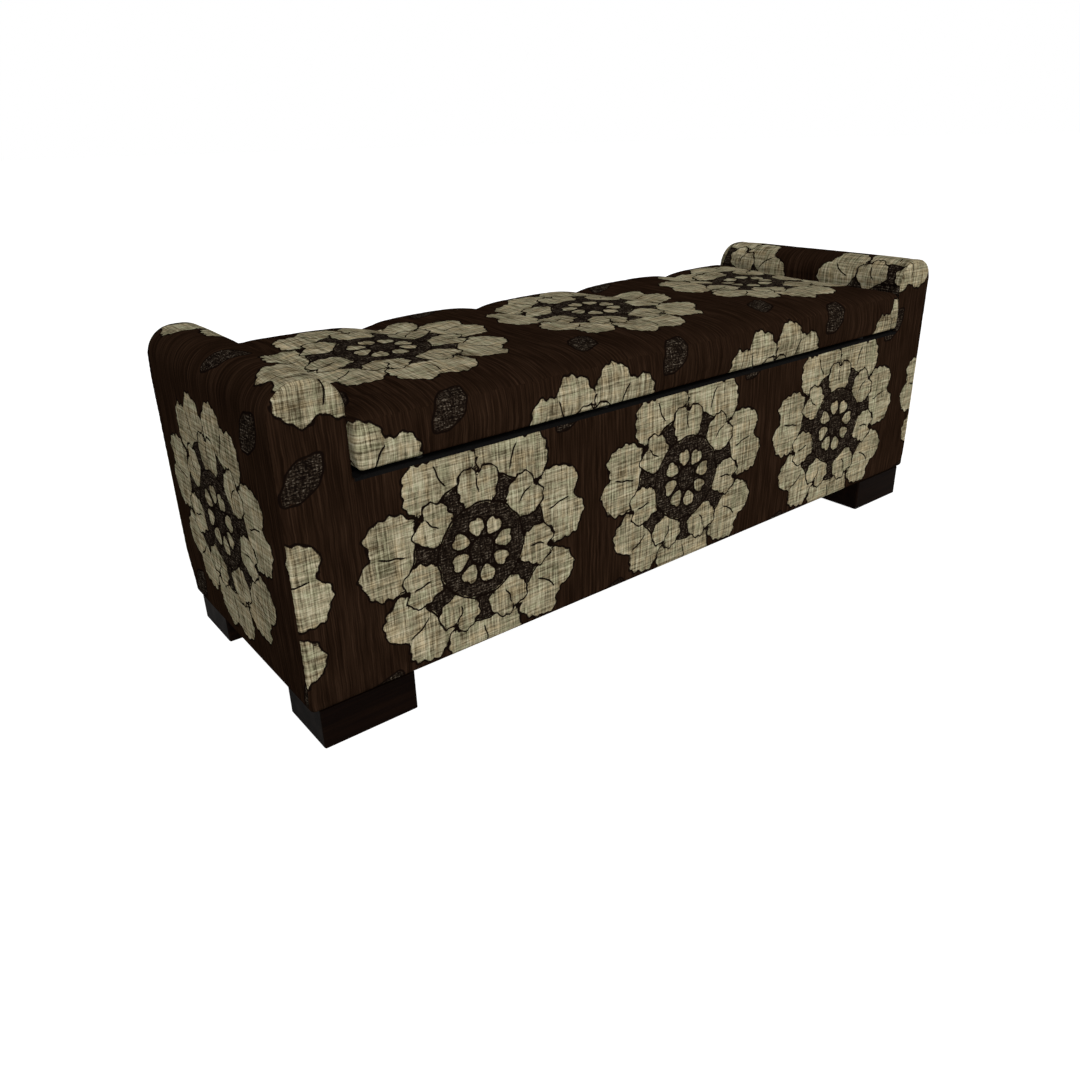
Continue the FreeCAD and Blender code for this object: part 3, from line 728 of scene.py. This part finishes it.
def arc(cx, cz, r, a0, a1, step=0.8):
    n = max(3, int(abs(math.radians(a1 - a0)) * r / step))
    t = np.radians(np.linspace(a0, a1, n))
    return np.stack([cx + r * np.cos(t), cz + r * np.sin(t)], 1)


def seg(a, b, step=1.0):
    n = max(2, int(math.hypot(b[0] - a[0], b[1] - a[1]) / step))
    t = np.linspace(0, 1, n)[:, None]
    return np.array(a) * (1 - t) + np.array(b) * t


def right_outline():
    rb = 8.0
    p = [seg((0, Z0), (X1 - rb, Z0)), arc(X1 - rb, Z0 + rb, rb, -90, 0),
         seg((X1, Z0 + rb), (X1, ARM_Z - R_ARM)), arc(X1 - R_ARM, ARM_Z - R_ARM, R_ARM, 0, 90),
         seg((X1 - R_ARM, ARM_Z), (XI + R_ARM, ARM_Z)), arc(XI + R_ARM, ARM_Z - R_ARM, R_ARM, 90, 180),
         seg((XI, ARM_Z - R_ARM), (XI, ZG)), seg((XI, ZG), (0, ZG))]
    return np.concatenate(p)


OUT = right_outline()


def edge_r(x, z, back):
    """how far the face's rim is rolled back at a point of the outline"""
    x = np.abs(x)
    if not back:
        r = np.full(np.shape(x), 5.0)
        r = np.where(z > ZG + 0.5, r, r)
        low = smooth(-z, -(Z0 + 40), -(Z0 + 6))
        r = r + 4.0 * low
        mid = (x < XI - 0.01) & (z > ZG - 2)
        return np.where(mid, 6.0 * smooth(XI - x, 0, 16) + 0.05, r)
    r = 11.0 + 13.0 * smooth(z, 430, 500) + 21.0 * smooth(-z, -150, -Z0 - 4) * smooth(x, 560, 680)
    r = np.where((x < 640) & (z < 100), 10.0 + 22.0 * smooth(x, 560, 680), r)
    mid = (x < XI - 0.01) & (z > ZG - 2)
    return np.where(mid, 5.0 * smooth(XI - x, 0, 14) + 0.05, r)


def near_outline(X, Z):
    """distance to the outline, its nearest point and run length, for points within reach"""
    run = np.concatenate([[0], np.cumsum(np.hypot(*np.diff(OUT, axis=0).T))])
    kd = kdtree.KDTree(len(OUT))
    for i, (a, b) in enumerate(OUT):
        kd.insert((a, b, 0), i)
    kd.balance()
    ax = np.abs(X).ravel()
    zz = Z.ravel()
    d = np.full(ax.shape, 99.0)
    q = np.zeros((len(ax), 2))
    s = np.zeros(len(ax))
    reach = (zz < Z0 + 38) | (ax > XI - 60) | (zz > ZG - 38)
    # the open middle of the outline is no edge: x = 0 is only where the halves meet
    for i in np.nonzero(reach)[0]:
        co, k, dd = kd.find((ax[i], zz[i], 0))
        d[i], q[i], s[i] = dd, (co[0], co[1]), run[k]
    sh = X.shape
    return d.reshape(sh), q[:, 0].reshape(sh), q[:, 1].reshape(sh), s.reshape(sh)


def z_bottom(x):
    a = np.clip(np.abs(x) - (X1 - 8.0), 0, 8.0)
    return Z0 + 8.0 - np.sqrt(64.0 - a * a)


def z_top(x):
    a = np.abs(x)
    h = np.where(a > X1 - R_ARM, a - (X1 - R_ARM), np.where(a < XI + R_ARM, (XI + R_ARM) - a, 0.0))
    return ARM_Z - R_ARM + np.sqrt(np.maximum(R_ARM ** 2 - np.clip(h, 0, R_ARM) ** 2, 0))


def face_cover(back):
    """the U-shaped skin over the low wall and both arm ends, as one cloth"""
    sgn = 1.0 if back else -1.0
    Yf = BY if back else FY
    xa = lines(XI, X1, 3.3, 0.10, 0.10, 1.5)
    xm = lines(-XI, XI, 3.3, 0.8, 0.8)
    X = np.concatenate([-xa[::-1], xm[1:-1], xa])
    tl = lines(0, ZG - Z0, 3.3, 0.5, 0.5, 1.5) / (ZG - Z0)
    tu = lines(0, 134.0, 3.3, 0.9, 0.15, 1.5) / 134.0
    p = Patch()
    cx, cz = np.linspace(-X1, X1, 141), np.linspace(Z0, ZG, 37)
    gx, gz = np.meshgrid(cx, cz, indexing="ij")
    G = arr3(gx, sgn * Yf, gz)
    # the cloth's outward side is the grid's own only on the back, so the front is blown on a mirrored grid
    if back:
        D = puffed(G[::-1], sewn(141, 37), 1.7)[::-1]
    else:
        D = puffed(G, sewn(141, 37), 1.7)
    full = D[..., 1] * sgn

    def surface(x, z):
        d, qx, qz, s = near_outline(x, z)
        R = edge_r(qx, qz, back)
        k = np.clip(R - d, 0, None)
        off = R - np.sqrt(np.maximum(R * R - k * k, 0))
        P = arr3(x, 0 * x, z)
        puff = 0.8 * smooth(d, 0, 55) * (1 - 0.35 * smooth(np.abs(x), 300, 560))
        puff = puff + np.where(z < ZG, spread(full, cx, cz, x, z), 0.0) * smooth(d, 0, 12)
        wob = 0.55 * noise(P, 90, 3) * smooth(d, 0, 30) + 0.18 * noise(P, 26, 5)
        upper = (qz > ZG + 3) | (np.abs(qx) > X1 - 12)
        seam = np.where(upper, 1.0, 0.0)
        pucker = 0.45 * np.exp(-d / 9.0) * noise(arr3(s, 0 * s, sgn * np.sign(x) * 40), 11, 9) * seam
        groove = -0.9 * np.exp(-(d / 1.6) ** 2) * seam
        y = Yf - off + puff + wob * smooth(d, 0, 6) + pucker + groove
        return arr3(x, sgn * y, z)

    xg, tg = np.meshgrid(X, tl, indexing="ij")
    zl = z_bottom(xg) + tg * (ZG - z_bottom(xg))
    low = surface(xg, zl)
    uv = np.stack([sgn * -1 * low[..., 0], low[..., 2]], -1)
    # u runs to the viewer's right on both faces
    p.grid(low, uv, flip=back)
    for side in (-1, 1):
        xs = side * xa
        xg, tg = np.meshgrid(xs, tu, indexing="ij")
        zu = ZG + tg * (z_top(xg) - ZG)
        up = surface(xg, zu)
        p.grid(up, np.stack([sgn * -1 * up[..., 0], up[..., 2]], -1), flip=back == (side > 0))
    # hem turned under
    yb = low[:, 0, 1]
    t = np.array([0, 3.0, 8.0, 16.0, 26.0])
    depth = np.minimum(t[None, :], np.maximum(np.abs(yb)[:, None] - 200.0, 0))
    hem = arr3(np.repeat(X[:, None], 5, 1), yb[:, None] - sgn * depth, np.repeat(low[:, 0, 2][:, None], 5, 1))
    hem[:, 1:, 2] += 0.10 * noise(hem[:, 1:], 20, 4)
    p.grid(hem, np.stack([sgn * -1 * hem[..., 0], hem[..., 2] - depth], -1), flip=not back)
    # hem folded over the top of the low wall
    mid = (np.abs(X) <= XI + 1e-6)
    xm_, yt = X[mid], low[mid][:, -1, 1]
    t = np.array([0, 2.0, 6.0, 12.0, 21.0])
    top = arr3(np.repeat(xm_[:, None], 5, 1), yt[:, None] - sgn * t[None, :], np.full((len(xm_), 5), ZG - 0.05))
    p.grid(top, np.stack([sgn * -1 * top[..., 0], top[..., 2] + t[None, :]], -1), flip=back)
    return p.mesh("back_cloth" if back else "front_cloth")


def arm_profile():
    """section of an arm's side cloth, from the hem under the arm, up and over, to the fold above the storage box"""
    rb, ri = 8.0, 5.0
    parts = [seg((X1 - 42, Z0), (X1 - rb, Z0), 4.0), arc(X1 - rb, Z0 + rb, rb, -90, 0, 1.3)]
    zz = lines(Z0 + rb, ARM_Z - R_ARM, 3.3)
    parts.append(np.stack([np.full(len(zz), X1), zz], 1))
    parts += [arc(X1 - R_ARM, ARM_Z - R_ARM, R_ARM, 0, 90, 2.6), seg((X1 - R_ARM, ARM_Z), (XI + R_ARM, ARM_Z), 3.0),
              arc(XI + R_ARM, ARM_Z - R_ARM, R_ARM, 90, 180, 2.6)]
    zz = lines(ARM_Z - R_ARM, ZG + ri, 3.3)[::1] if False else np.linspace(ARM_Z - R_ARM, ZG + ri, 27)
    parts.append(np.stack([np.full(len(zz), XI), zz], 1))
    parts += [arc(XI + ri, ZG + ri, ri, 180, 270, 1.2), seg((XI + ri, ZG), (XI + 11.4, ZG), 3.0)]
    P = np.concatenate(parts)
    keep = np.concatenate([[True], np.hypot(*np.diff(P, axis=0).T) > 1e-6])
    return P[keep]


def arm_cover(side):
    prof = arm_profile()
    s = np.concatenate([[0], np.cumsum(np.hypot(*np.diff(prof, axis=0).T))])
    k0 = int(np.argmax(prof[:, 1] >= Z0 + 8.0 - 1e-6))
    v = Z0 + 8.0 + s - s[k0]
    tan = np.gradient(prof, axis=0)
    tan /= np.hypot(*tan.T)[:, None]
    nrm = np.stack([tan[:, 1], -tan[:, 0]], 1)          # outward
    rf = edge_r(prof[:, 0], prof[:, 1], False)
    rb = edge_r(prof[:, 0], prof[:, 1], True)
    on_in = (prof[:, 0] < XI + 20) & (prof[:, 1] < ARM_Z - R_ARM)
    y0, y1 = -FY + rf, BY - rb
    t = lines(0, 460.0, 3.3, 0.5, 0.5, 1.5) / 460.0
    S, T = np.meshgrid(np.arange(len(prof)), t, indexing="ij")
    Y = y0[S] + T * (y1 - y0)[S]
    px, pz = prof[S, 0], prof[S, 1]
    d = np.minimum((Y - y0[S]), (y1[S] - Y))
    under = smooth(np.abs(v[S] - v[0]) , 34, 60)
    inner = on_in[S]
    flat = np.where(inner, 0.35, 1.0)
    puff = 1.0 * smooth(d, 0, 60) * under * flat * (0.55 + 0.45 * smooth(pz, 90, 200))
    # blow up the run from the bottom corner over the top
    ka, kb = k0, int(np.argmax((prof[:, 0] < XI + 0.01) & (prof[:, 1] < ARM_Z - R_ARM + 0.01)))
    sa = np.linspace(s[ka], s[kb], 73)
    ta = np.linspace(0, 1, 61)
    cx_, cz_ = np.interp(sa, s, prof[:, 0]), np.interp(sa, s, prof[:, 1])
    ya, yb_ = np.interp(sa, s, y0), np.interp(sa, s, y1)
    G = arr3(cx_[:, None] + 0 * ta[None, :], ya[:, None] + ta[None, :] * (yb_ - ya)[:, None], cz_[:, None] + 0 * ta[None, :])
    nx_, nz_ = np.interp(sa, s, nrm[:, 0]), np.interp(sa, s, nrm[:, 1])
    D = puffed(G[:, ::-1], sewn(73, 61), 2.2)[:, ::-1]
    full = D[..., 0] * nx_[:, None] + D[..., 2] * nz_[:, None]
    inrun = (s[S] > s[ka]) & (s[S] < s[kb])
    puff = puff + np.where(inrun, spread(full, sa, ta, s[S], T), 0.0) * smooth(d, 0, 12)
    P0 = arr3(px, Y, pz)
    wob = (0.7 * noise(P0, 95, 13 + side) + 0.2 * noise(P0, 27, 15)) * under * flat
    df, dbk = Y - y0[S], y1[S] - Y
    pucker = 0.45 * np.exp(-df / 9.0) * noise(arr3(v[S], 0 * Y, 3.0), 11, 21) + 0.35 * np.exp(-dbk / 11.0) * noise(arr3(v[S], 0 * Y, 60.0), 12, 23)
    groove = -0.7 * np.exp(-(df / 1.6) ** 2) - 0.6 * np.exp(-(dbk / 1.8) ** 2)
    n = (puff + wob * smooth(d, 0, 8) + (pucker + groove) * under) * np.where(v[S] < v[0] + 30, 0.0, 1.0)
    X = px + nrm[S, 0] * n
    Z = pz + nrm[S, 1] * n
    P = arr3(side * X, Y, Z)
    A = np.stack([side * Y, v[S] + 0 * Y], -1)
    p = Patch()
    p.grid(P, A, flip=side < 0)
    return p.mesh(("right" if side > 0 else "left") + "_arm_cloth")


# ------------------------------------------------------------------ lid
RC_F, RC_B = {-1: 5.0, 1: 13.0}, 9.0        # plan corners: front left, front right; back


def corner_map(x, y, hx, y0, y1):
    """bend a square grid's corners to the cushion's rounded ones"""
    x, y = x.copy(), y.copy()
    for sx in (-1, 1):
        for yc, r, sy in ((y0 + RC_F[sx], RC_F[sx], -1), (y1 - RC_B, RC_B, 1)):
            cx = sx * (hx - r)
            a, b = (x - cx) * sx, (y - yc) * sy
            m = (a > 0) & (b > 0)
            mx = np.maximum(a, b)
            f = np.where(m, mx / np.maximum(np.hypot(a, b), 1e-9), 1.0)
            x = np.where(m, cx + sx * a * f, x)
            y = np.where(m, yc + sy * b * f, y)
    return x, y


def lid_inset(x, y):
    """distance in from the lid's plan outline"""
    d = np.minimum(np.minimum(LX - x, LX + x), np.minimum(y - LY0, LY1 - y))
    for sx in (-1, 1):
        for yc, r, sy in ((LY0 + RC_F[sx], RC_F[sx], -1), (LY1 - RC_B, RC_B, 1)):
            cx = sx * (LX - r)
            a, b = (x - cx) * sx, (y - yc) * sy
            m = (a > 0) & (b > 0)
            d = np.where(m, r - np.hypot(a, b), d)
    return np.maximum(d, 0)


PULLS = (-350.0, -110.0, 136.0, 386.0)


def crown(x, y, cloth=None):
    """height of the lid's top cloth over its seam"""
    d = lid_inset(x, y)
    h = 11.5 * (1 - np.exp(-d / 19.0)) + 0.5 * np.clip(d, 0, 6) * 0.2
    yy = (y - LY0) / (LY1 - LY0)
    h = h + 6.5 * np.sin(np.pi * np.clip(yy, 0, 1)) ** 0.8 * (1 - np.abs(x / LX) ** 6)
    back = smooth(y, -90, 225)
    h = h + 10.5 * smooth(y, -60, 190) * (1 - np.exp(-d / 13.0))
    for k, xk in enumerate(PULLS):
        dx = x - xk - 6 * np.sin(y / 60.0 + k)
        h = h - (11.5 + 1.0 * (-1) ** k) * back / (1 + np.abs(dx / 30.0) ** 1.7) * (1 - np.exp(-d / 8.0))
    P = arr3(x, y, 0 * x)
    h = h + (1.0 * noise(P, 130, 31) + 0.35 * noise(P, 42, 33)) * smooth(d, 4, 45)
    # tight little gathers just inside the seam
    h = h + 0.5 * np.exp(-d / 10.0) * (1 - np.exp(-d / 2.0)) * noise(P, 13, 35)
    return h


def lid_top():
    xs = lines(-LX, LX, 3.4, 0.5, 0.5, 1.45)
    ys = lines(LY0, LY1, 3.4, 0.5, 0.5, 1.45)
    x, y = np.meshgrid(xs, ys, indexing="ij")
    # the corner squares must start where the rounding starts
    x, y = corner_map(x, y, LX, LY0, LY1)
    d = lid_inset(x, y)
    z = LZS - 0.9 * np.exp(-(d / 1.6) ** 2) + crown(x, y)
    Q = arr3(x, y, z)
    # blown up between the seam and the pulls along the back
    cx, cy = np.linspace(-LX, LX, 161), np.linspace(LY0, LY1, 65)
    gx, gy = np.meshgrid(cx, cy, indexing="ij")
    gz = LZS + crown(gx, gy)
    pin = sewn(161, 65)
    for k, xk in enumerate(PULLS):
        for yy, drop, r in ((222, 3.5, 7), (188, 3.0, 6), (146, 2.2, 6), (96, 1.2, 6)):
            hit = np.hypot(gx - xk - 5 * math.sin(yy / 60 + k), gy - yy) < r
            gz = np.where(hit, gz - drop, gz)
            pin = np.where(hit, 1.0 if yy > 150 else 0.8, pin)
    D = puffed(arr3(gx, gy, gz), pin, 6.0, slack=0.03)
    D[..., 2] += (gz - LZS - crown(gx, gy)) * (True)
    Q = Q + spread(D, cx, cy, x, y) * (1 - np.exp(-d / 7.0))[..., None]
    p = Patch()
    p.grid(Q, np.stack([x, y], -1))
    return p.mesh("lid_top_cloth")


def lid_loop(step=3.3):
    """plan outline with outward normals, from the back middle round by the left, front and right"""
    pts, nrm = [], []

    def line(a, b, n):
        L = math.hypot(b[0] - a[0], b[1] - a[1])
        k = max(2, int(L / step))
        for i in range(k):
            t = i / k
            pts.append((a[0] + (b[0] - a[0]) * t, a[1] + (b[1] - a[1]) * t))
            nrm.append(n)

    def turn(cx, cy, r, a0, a1):
        k = max(6, int(abs(math.radians(a1 - a0)) * r / 2.0))
        for i in range(k):
            t = math.radians(a0 + (a1 - a0) * i / k)
            pts.append((cx + r * math.cos(t), cy + r * math.sin(t)))
            nrm.append((math.cos(t), math.sin(t)))
    line((0, LY1), (-LX + RC_B, LY1), (0, 1))
    turn(-LX + RC_B, LY1 - RC_B, RC_B, 90, 180)
    ra, rb = RC_F[-1], RC_F[1]
    line((-LX, LY1 - RC_B), (-LX, LY0 + ra), (-1, 0))
    turn(-LX + ra, LY0 + ra, ra, 180, 270)
    line((-LX + ra, LY0), (LX - rb, LY0), (0, -1))
    turn(LX - rb, LY0 + rb, rb, 270, 360)
    line((LX, LY0 + rb), (LX, LY1 - RC_B), (1, 0))
    turn(LX - RC_B, LY1 - RC_B, RC_B, 0, 90)
    line((LX - RC_B, LY1), (0, LY1), (0, 1))
    return np.array(pts), np.array(nrm)


def lid_band():
    P, N = lid_loop()
    s = np.concatenate([[0], np.cumsum(np.hypot(*np.diff(P, axis=0).T))])
    total = s[-1] + math.hypot(*(P[0] - P[-1]))
    # u = x along the front edge
    i0 = int(np.argmin(np.abs(P[:, 0]) + np.where(P[:, 1] < LY0 + 1, 0, 1e6)))
    u = s - s[i0] + P[i0, 0]
    r = 5.0
    t = np.linspace(0, 90, 8)
    inset = np.concatenate([[24.0, 17.0, 11.0], r - r * np.sin(np.radians(t))])
    zz = np.concatenate([[LZ0 + 0.3] * 3, LZ0 + 0.3 + r - r * np.cos(np.radians(t))])
    run = np.concatenate([[-27.0, -20.0, -14.0], -11 + r * np.radians(t)])
    zs = lines(LZ0 + 0.3 + r, LZS, 3.2, 1.0, 0.5, 1.45)[1:]
    inset = np.concatenate([inset, np.zeros(len(zs))])
    v = np.concatenate([run - run[10] + (LZ0 + 0.3 + r), zs])
    zz = np.concatenate([zz, zs])
    S, T = np.meshgrid(np.arange(len(P)), np.arange(len(zz)), indexing="ij")
    h = np.clip((zz[T] - LZ0) / (LZS - LZ0), 0, 1)
    front = np.clip(-N[S, 1], 0, 1) ** 2
    rear = np.clip(N[S, 1], 0, 1) ** 2
    amp = 1.5 + 3.0 * front + 0.7 * rear + 2.2 * N[S, 0] ** 2
    puff = amp * np.sin(np.pi * h) ** 0.8 + 3.4 * front * (1 - h) ** 2
    Q = arr3(P[S, 0], P[S, 1], zz[T])
    wob = (0.9 * noise(Q, 120, 41) + 0.35 * noise(Q, 34, 43)) * np.sin(np.pi * h) * (0.35 + 0.65 * front)
    seam = LZS - zz[T]
    groove = -0.8 * np.exp(-(seam / 1.5) ** 2)
    pucker = 0.45 * np.exp(-seam / 8.0) * noise(arr3(u[S], 0 * seam, 7.0), 11, 45) + 0.5 * np.exp(-np.abs(zz[T] - LZ0) / 9.0) * noise(arr3(u[S], 0 * seam, 90.0), 17, 47)
    cu, cv = np.linspace(-LX + 6, LX - 6, 141), np.linspace(LZ0 + 4, LZS, 13)
    gu, gv = np.meshgrid(cu, cv, indexing="ij")
    D = puffed(arr3(gu, LY0 + 0 * gu, gv), sewn(141, 13), 2.6, slack=0.04)
    on_front = N[S, 1] < -0.98
    puff = puff + np.where(on_front, -spread(D[..., 1], cu, cv, P[S, 0], zz[T]), 0.0) * smooth(zz[T] - LZ0, 0, 8)
    n = puff + wob + groove + pucker * (0.4 + 0.6 * front)
    n = np.where(inset[T] > 7.5, 0, n)
    X = P[S, 0] + N[S, 0] * (n - inset[T])
    Y = P[S, 1] + N[S, 1] * (n - inset[T])
    Z = zz[T] + 0.0
    p = Patch()
    p.grid(arr3(X, Y, Z), np.stack([u[S] + 0 * h, v[T] + 0 * h], -1), flip=True, closed_u=True)
    me = p.mesh("lid_band_cloth")
    return me


def flat_sheet(name, x0, x1, y0, y1, z, step, amp, seed, down=False, hole=None):
    xs, ys = lines(x0, x1, step), lines(y0, y1, step)
    x, y = np.meshgrid(xs, ys, indexing="ij")
    P = arr3(x, y, 0 * x)
    edge = np.minimum(np.minimum(x - x0, x1 - x), np.minimum(y - y0, y1 - y))
    w = amp * (noise(P, 85, seed) * smooth(edge, 0, 60) + 0.5 * noise(P, 30, seed + 1) * smooth(edge, 0, 30)
               + 0.8 * np.exp(-edge / 16.0) * noise(P, 22, seed + 2))
    p = Patch()
    p.grid(arr3(x, y, z + w), np.stack([x, y], -1), flip=down)
    return p.mesh(name)


def open_box(name, x1, y0, y1, z0, z1, step, amp, seed):
    """lining: floor and four walls, seen from inside"""
    p = Patch()
    xs, ys, zs = lines(-x1, x1, step), lines(y0, y1, step), lines(z0, z1, step)

    def wave(P, edge):
        return amp * (noise(P, 90, seed) * smooth(edge, 2, 50) + 0.5 * noise(P, 33, seed + 1) * smooth(edge, 1, 25))
    x, y = np.meshgrid(xs, ys, indexing="ij")
    e = np.minimum(np.minimum(x + x1, x1 - x), np.minimum(y - y0, y1 - y))
    p.grid(arr3(x, y, z0 + np.abs(wave(arr3(x, y, z0 + 0 * x), e))), np.stack([x, y], -1))
    x, z = np.meshgrid(xs, zs, indexing="ij")
    e = np.minimum(np.minimum(x + x1, x1 - x), z - z0)
    for yy, sg in ((y0, 1), (y1, -1)):
        Q = arr3(x, yy + 0 * x, z)
        p.grid(arr3(x, yy + sg * np.abs(wave(Q, e)), z), np.stack([x, z], -1), flip=sg > 0)
    y, z = np.meshgrid(ys, zs, indexing="ij")
    e = np.minimum(np.minimum(y - y0, y1 - y), z - z0)
    for xx, sg in ((-x1, 1), (x1, -1)):
        Q = arr3(xx + 0 * y, y, z)
        p.grid(arr3(xx + sg * np.abs(wave(Q, e)), y, z), np.stack([y, z], -1), flip=sg < 0)
    return p.mesh(name)

# ------------------------------------------------------------------ make the pieces
me, V, A = face_cover(False)
weave(me, A, 0.0, 220.0)
front = piece("front_upholstery", me, "base", [FABRIC, RIM_SHADE_CLOTH])
# the storage box's front rim, under the lid, is faced with near-black cloth: painted shade standing in for the shadow
# in the gap beneath the lid
mid = np.zeros(len(me.polygons) * 3)
me.polygons.foreach_get("center", mid)
mid = mid.reshape(-1, 3) / MM
# faces along the top of the low front wall take the near-black painted-shade cloth
me.polygons.foreach_set("material_index", ((mid[:, 2] > ZG - 5.2) & (np.abs(mid[:, 0]) < XI - 1.0)).astype(np.int32))
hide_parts("front_cover", "front_padding")

me, V, A = face_cover(True)
weave(me, A, 0.0, 220.0)
back = piece("back_upholstery", me, "base", FABRIC)
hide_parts("back_cover", "back_padding")

for side, nm in ((-1, "left"), (1, "right")):
    me, V, A = arm_cover(side)
    weave(me, A, 0.0, 270.0)
    ob = piece(nm + "_arm_upholstery", me, "base", FABRIC)
    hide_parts(nm + "_arm_cover", nm + "_arm_padding")

me, V, A = lid_top()
weave(me, A, 0.0, 0.0)
top = piece("lid_top_upholstery", me, "lid", FABRIC)
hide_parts("lid_top_cover", "lid_foam")

me, V, A = lid_band()
weave(me, A, 0.0, LZS - LY0)      # runs on from the lid top at the front seam
band = piece("lid_band_upholstery", me, "lid", FABRIC)
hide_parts("lid_band")

lo, hi = mm_box("lid_underside_cloth")
me, V, A = flat_sheet("lid_under_cloth", lo[0] + 8, hi[0] - 8, lo[1] + 10, hi[1] - 8, lo[2] + 0.25, 8.0, 0.12, 51, down=True)
add_vec(me, "fab", arr3(A[:, 0], A[:, 1], 0 * A[:, 0]))
under = piece("lid_under_lining", me, "lid", LINING)
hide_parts("lid_underside_cloth")

lo, hi = mm_box("interior_lining")
me, V, A = open_box("box_lining", hi[0] - 0.6, lo[1] + 0.6, hi[1] - 0.6, lo[2] + 0.6, hi[2], 9.0, 0.6, 61)
add_vec(me, "fab", arr3(A[:, 0], A[:, 1], 0 * A[:, 0]))
lin = piece("storage_lining", me, "base", LINING)
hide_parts("interior_lining")

lo, hi = mm_box("dust_cover")
me, V, A = flat_sheet("under_cloth", lo[0], hi[0], lo[1], hi[1], lo[2] + 0.6, 9.0, 0.35, 71, down=True)
add_vec(me, "fab", arr3(A[:, 0], A[:, 1], 0 * A[:, 0]))
dust = piece("dust_cloth", me, "base", CAMBRIC)
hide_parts("dust_cover")

# ------------------------------------------------------------------ floor, light, camera
fl = Nodes("studio_floor")
fn = fl.noise(fl.obj(), 3.0, 3.0, 0.5)
fcol = fl.mix(fn, (0.40, 0.40, 0.398), (0.42, 0.42, 0.418))
floor_mat = fl.done(fcol, 0.9, None, Specular_IOR_Level=0.1, Emission_Color=(1, 1, 1, 1), Emission_Strength=0.0)
lp = fl.t.nodes.new("ShaderNodeLightPath")
fl.put(fl.bsdf.inputs["Emission Strength"], fl.m("MULTIPLY", lp.outputs["Is Camera Ray"], 0.92))
me = bpy.data.meshes.new("floor")
k = 72
ring = [(40 * math.cos(2 * math.pi * i / k), 40 * math.sin(2 * math.pi * i / k), -0.0004) for i in range(k)]
me.from_pydata(ring, [], [list(range(k))])
floor = bpy.data.objects.new("floor", me)
bpy.context.scene.collection.objects.link(floor)
me.materials.append(floor_mat)


def sun(name, toward, angle, strength, color=(1, 1, 1)):
    """soft light from far away; toward is the direction it comes from"""
    d = bpy.data.lights.new(name, "SUN")
    d.angle = math.radians(angle)
    d.energy = strength
    d.color = color
    o = bpy.data.objects.new(name, d)
    o.rotation_euler = Vector(toward).to_track_quat("Z", "Y").to_euler()
    o.location = Vector(toward).normalized() * 4
    bpy.context.scene.collection.objects.link(o)
    return o


sun("key", (-0.30, -1.0, 0.64), 26, 2.25, (1.0, 0.985, 0.955))
sun("fill", (-1.0, -0.25, 0.40), 50, 0.36, (0.98, 0.99, 1.0))
sun("rear", (0.5, 1.0, 0.45), 70, 0.65).visible_glossy = False

w = bpy.data.worlds.new("studio")
bpy.context.scene.world = w
w.use_nodes = True
wt = w.node_tree
wt.nodes.clear()
wo = wt.nodes.new("ShaderNodeOutputWorld")
ws = wt.nodes.new("ShaderNodeBackground")
ws.inputs[0].default_value = (1, 1, 1, 1)
ws.inputs[1].default_value = 0.07
wc = wt.nodes.new("ShaderNodeBackground")
wc.inputs[0].default_value = (1, 1, 1, 1)
wc.inputs[1].default_value = 1.0
wl = wt.nodes.new("ShaderNodeLightPath")
wm = wt.nodes.new("ShaderNodeMixShader")
wt.links.new(wl.outputs["Is Camera Ray"], wm.inputs[0])
wt.links.new(ws.outputs[0], wm.inputs[1])
wt.links.new(wc.outputs[0], wm.inputs[2])
wt.links.new(wm.outputs[0], wo.inputs[0])
bpy.context.scene.view_settings.view_transform = "Standard"

CAM = dict(loc=(-1.04216, -1.18745, 0.77255), yaw=0.65889, pitch=0.41133, roll=-0.02612, f=881.14, cx=542.85, cy=509.81)
cy_, sy_, cp_, sp_ = math.cos(CAM["yaw"]), math.sin(CAM["yaw"]), math.cos(CAM["pitch"]), math.sin(CAM["pitch"])
fwd = Vector((sy_ * cp_, cy_ * cp_, -sp_))
right = Vector((cy_, -sy_, 0))
up = right.cross(fwd)
cr, sr = math.cos(CAM["roll"]), math.sin(CAM["roll"])
r2, u2 = right * cr + up * sr, up * cr - right * sr
cd = bpy.data.cameras.new("camera")
cd.sensor_width = 36.0
cd.lens = CAM["f"] / 1080 * 36.0
cd.shift_x = (540 - CAM["cx"]) / 1080
cd.shift_y = (CAM["cy"] - 540) / 1080
cd.clip_start, cd.clip_end = 0.05, 200
cam = bpy.data.objects.new("camera", cd)
cam.matrix_world = Matrix.Translation(Vector(CAM["loc"])) @ Matrix((r2, u2, -fwd)).transposed().to_4x4()
bpy.context.scene.collection.objects.link(cam)
bpy.context.scene.camera = cam
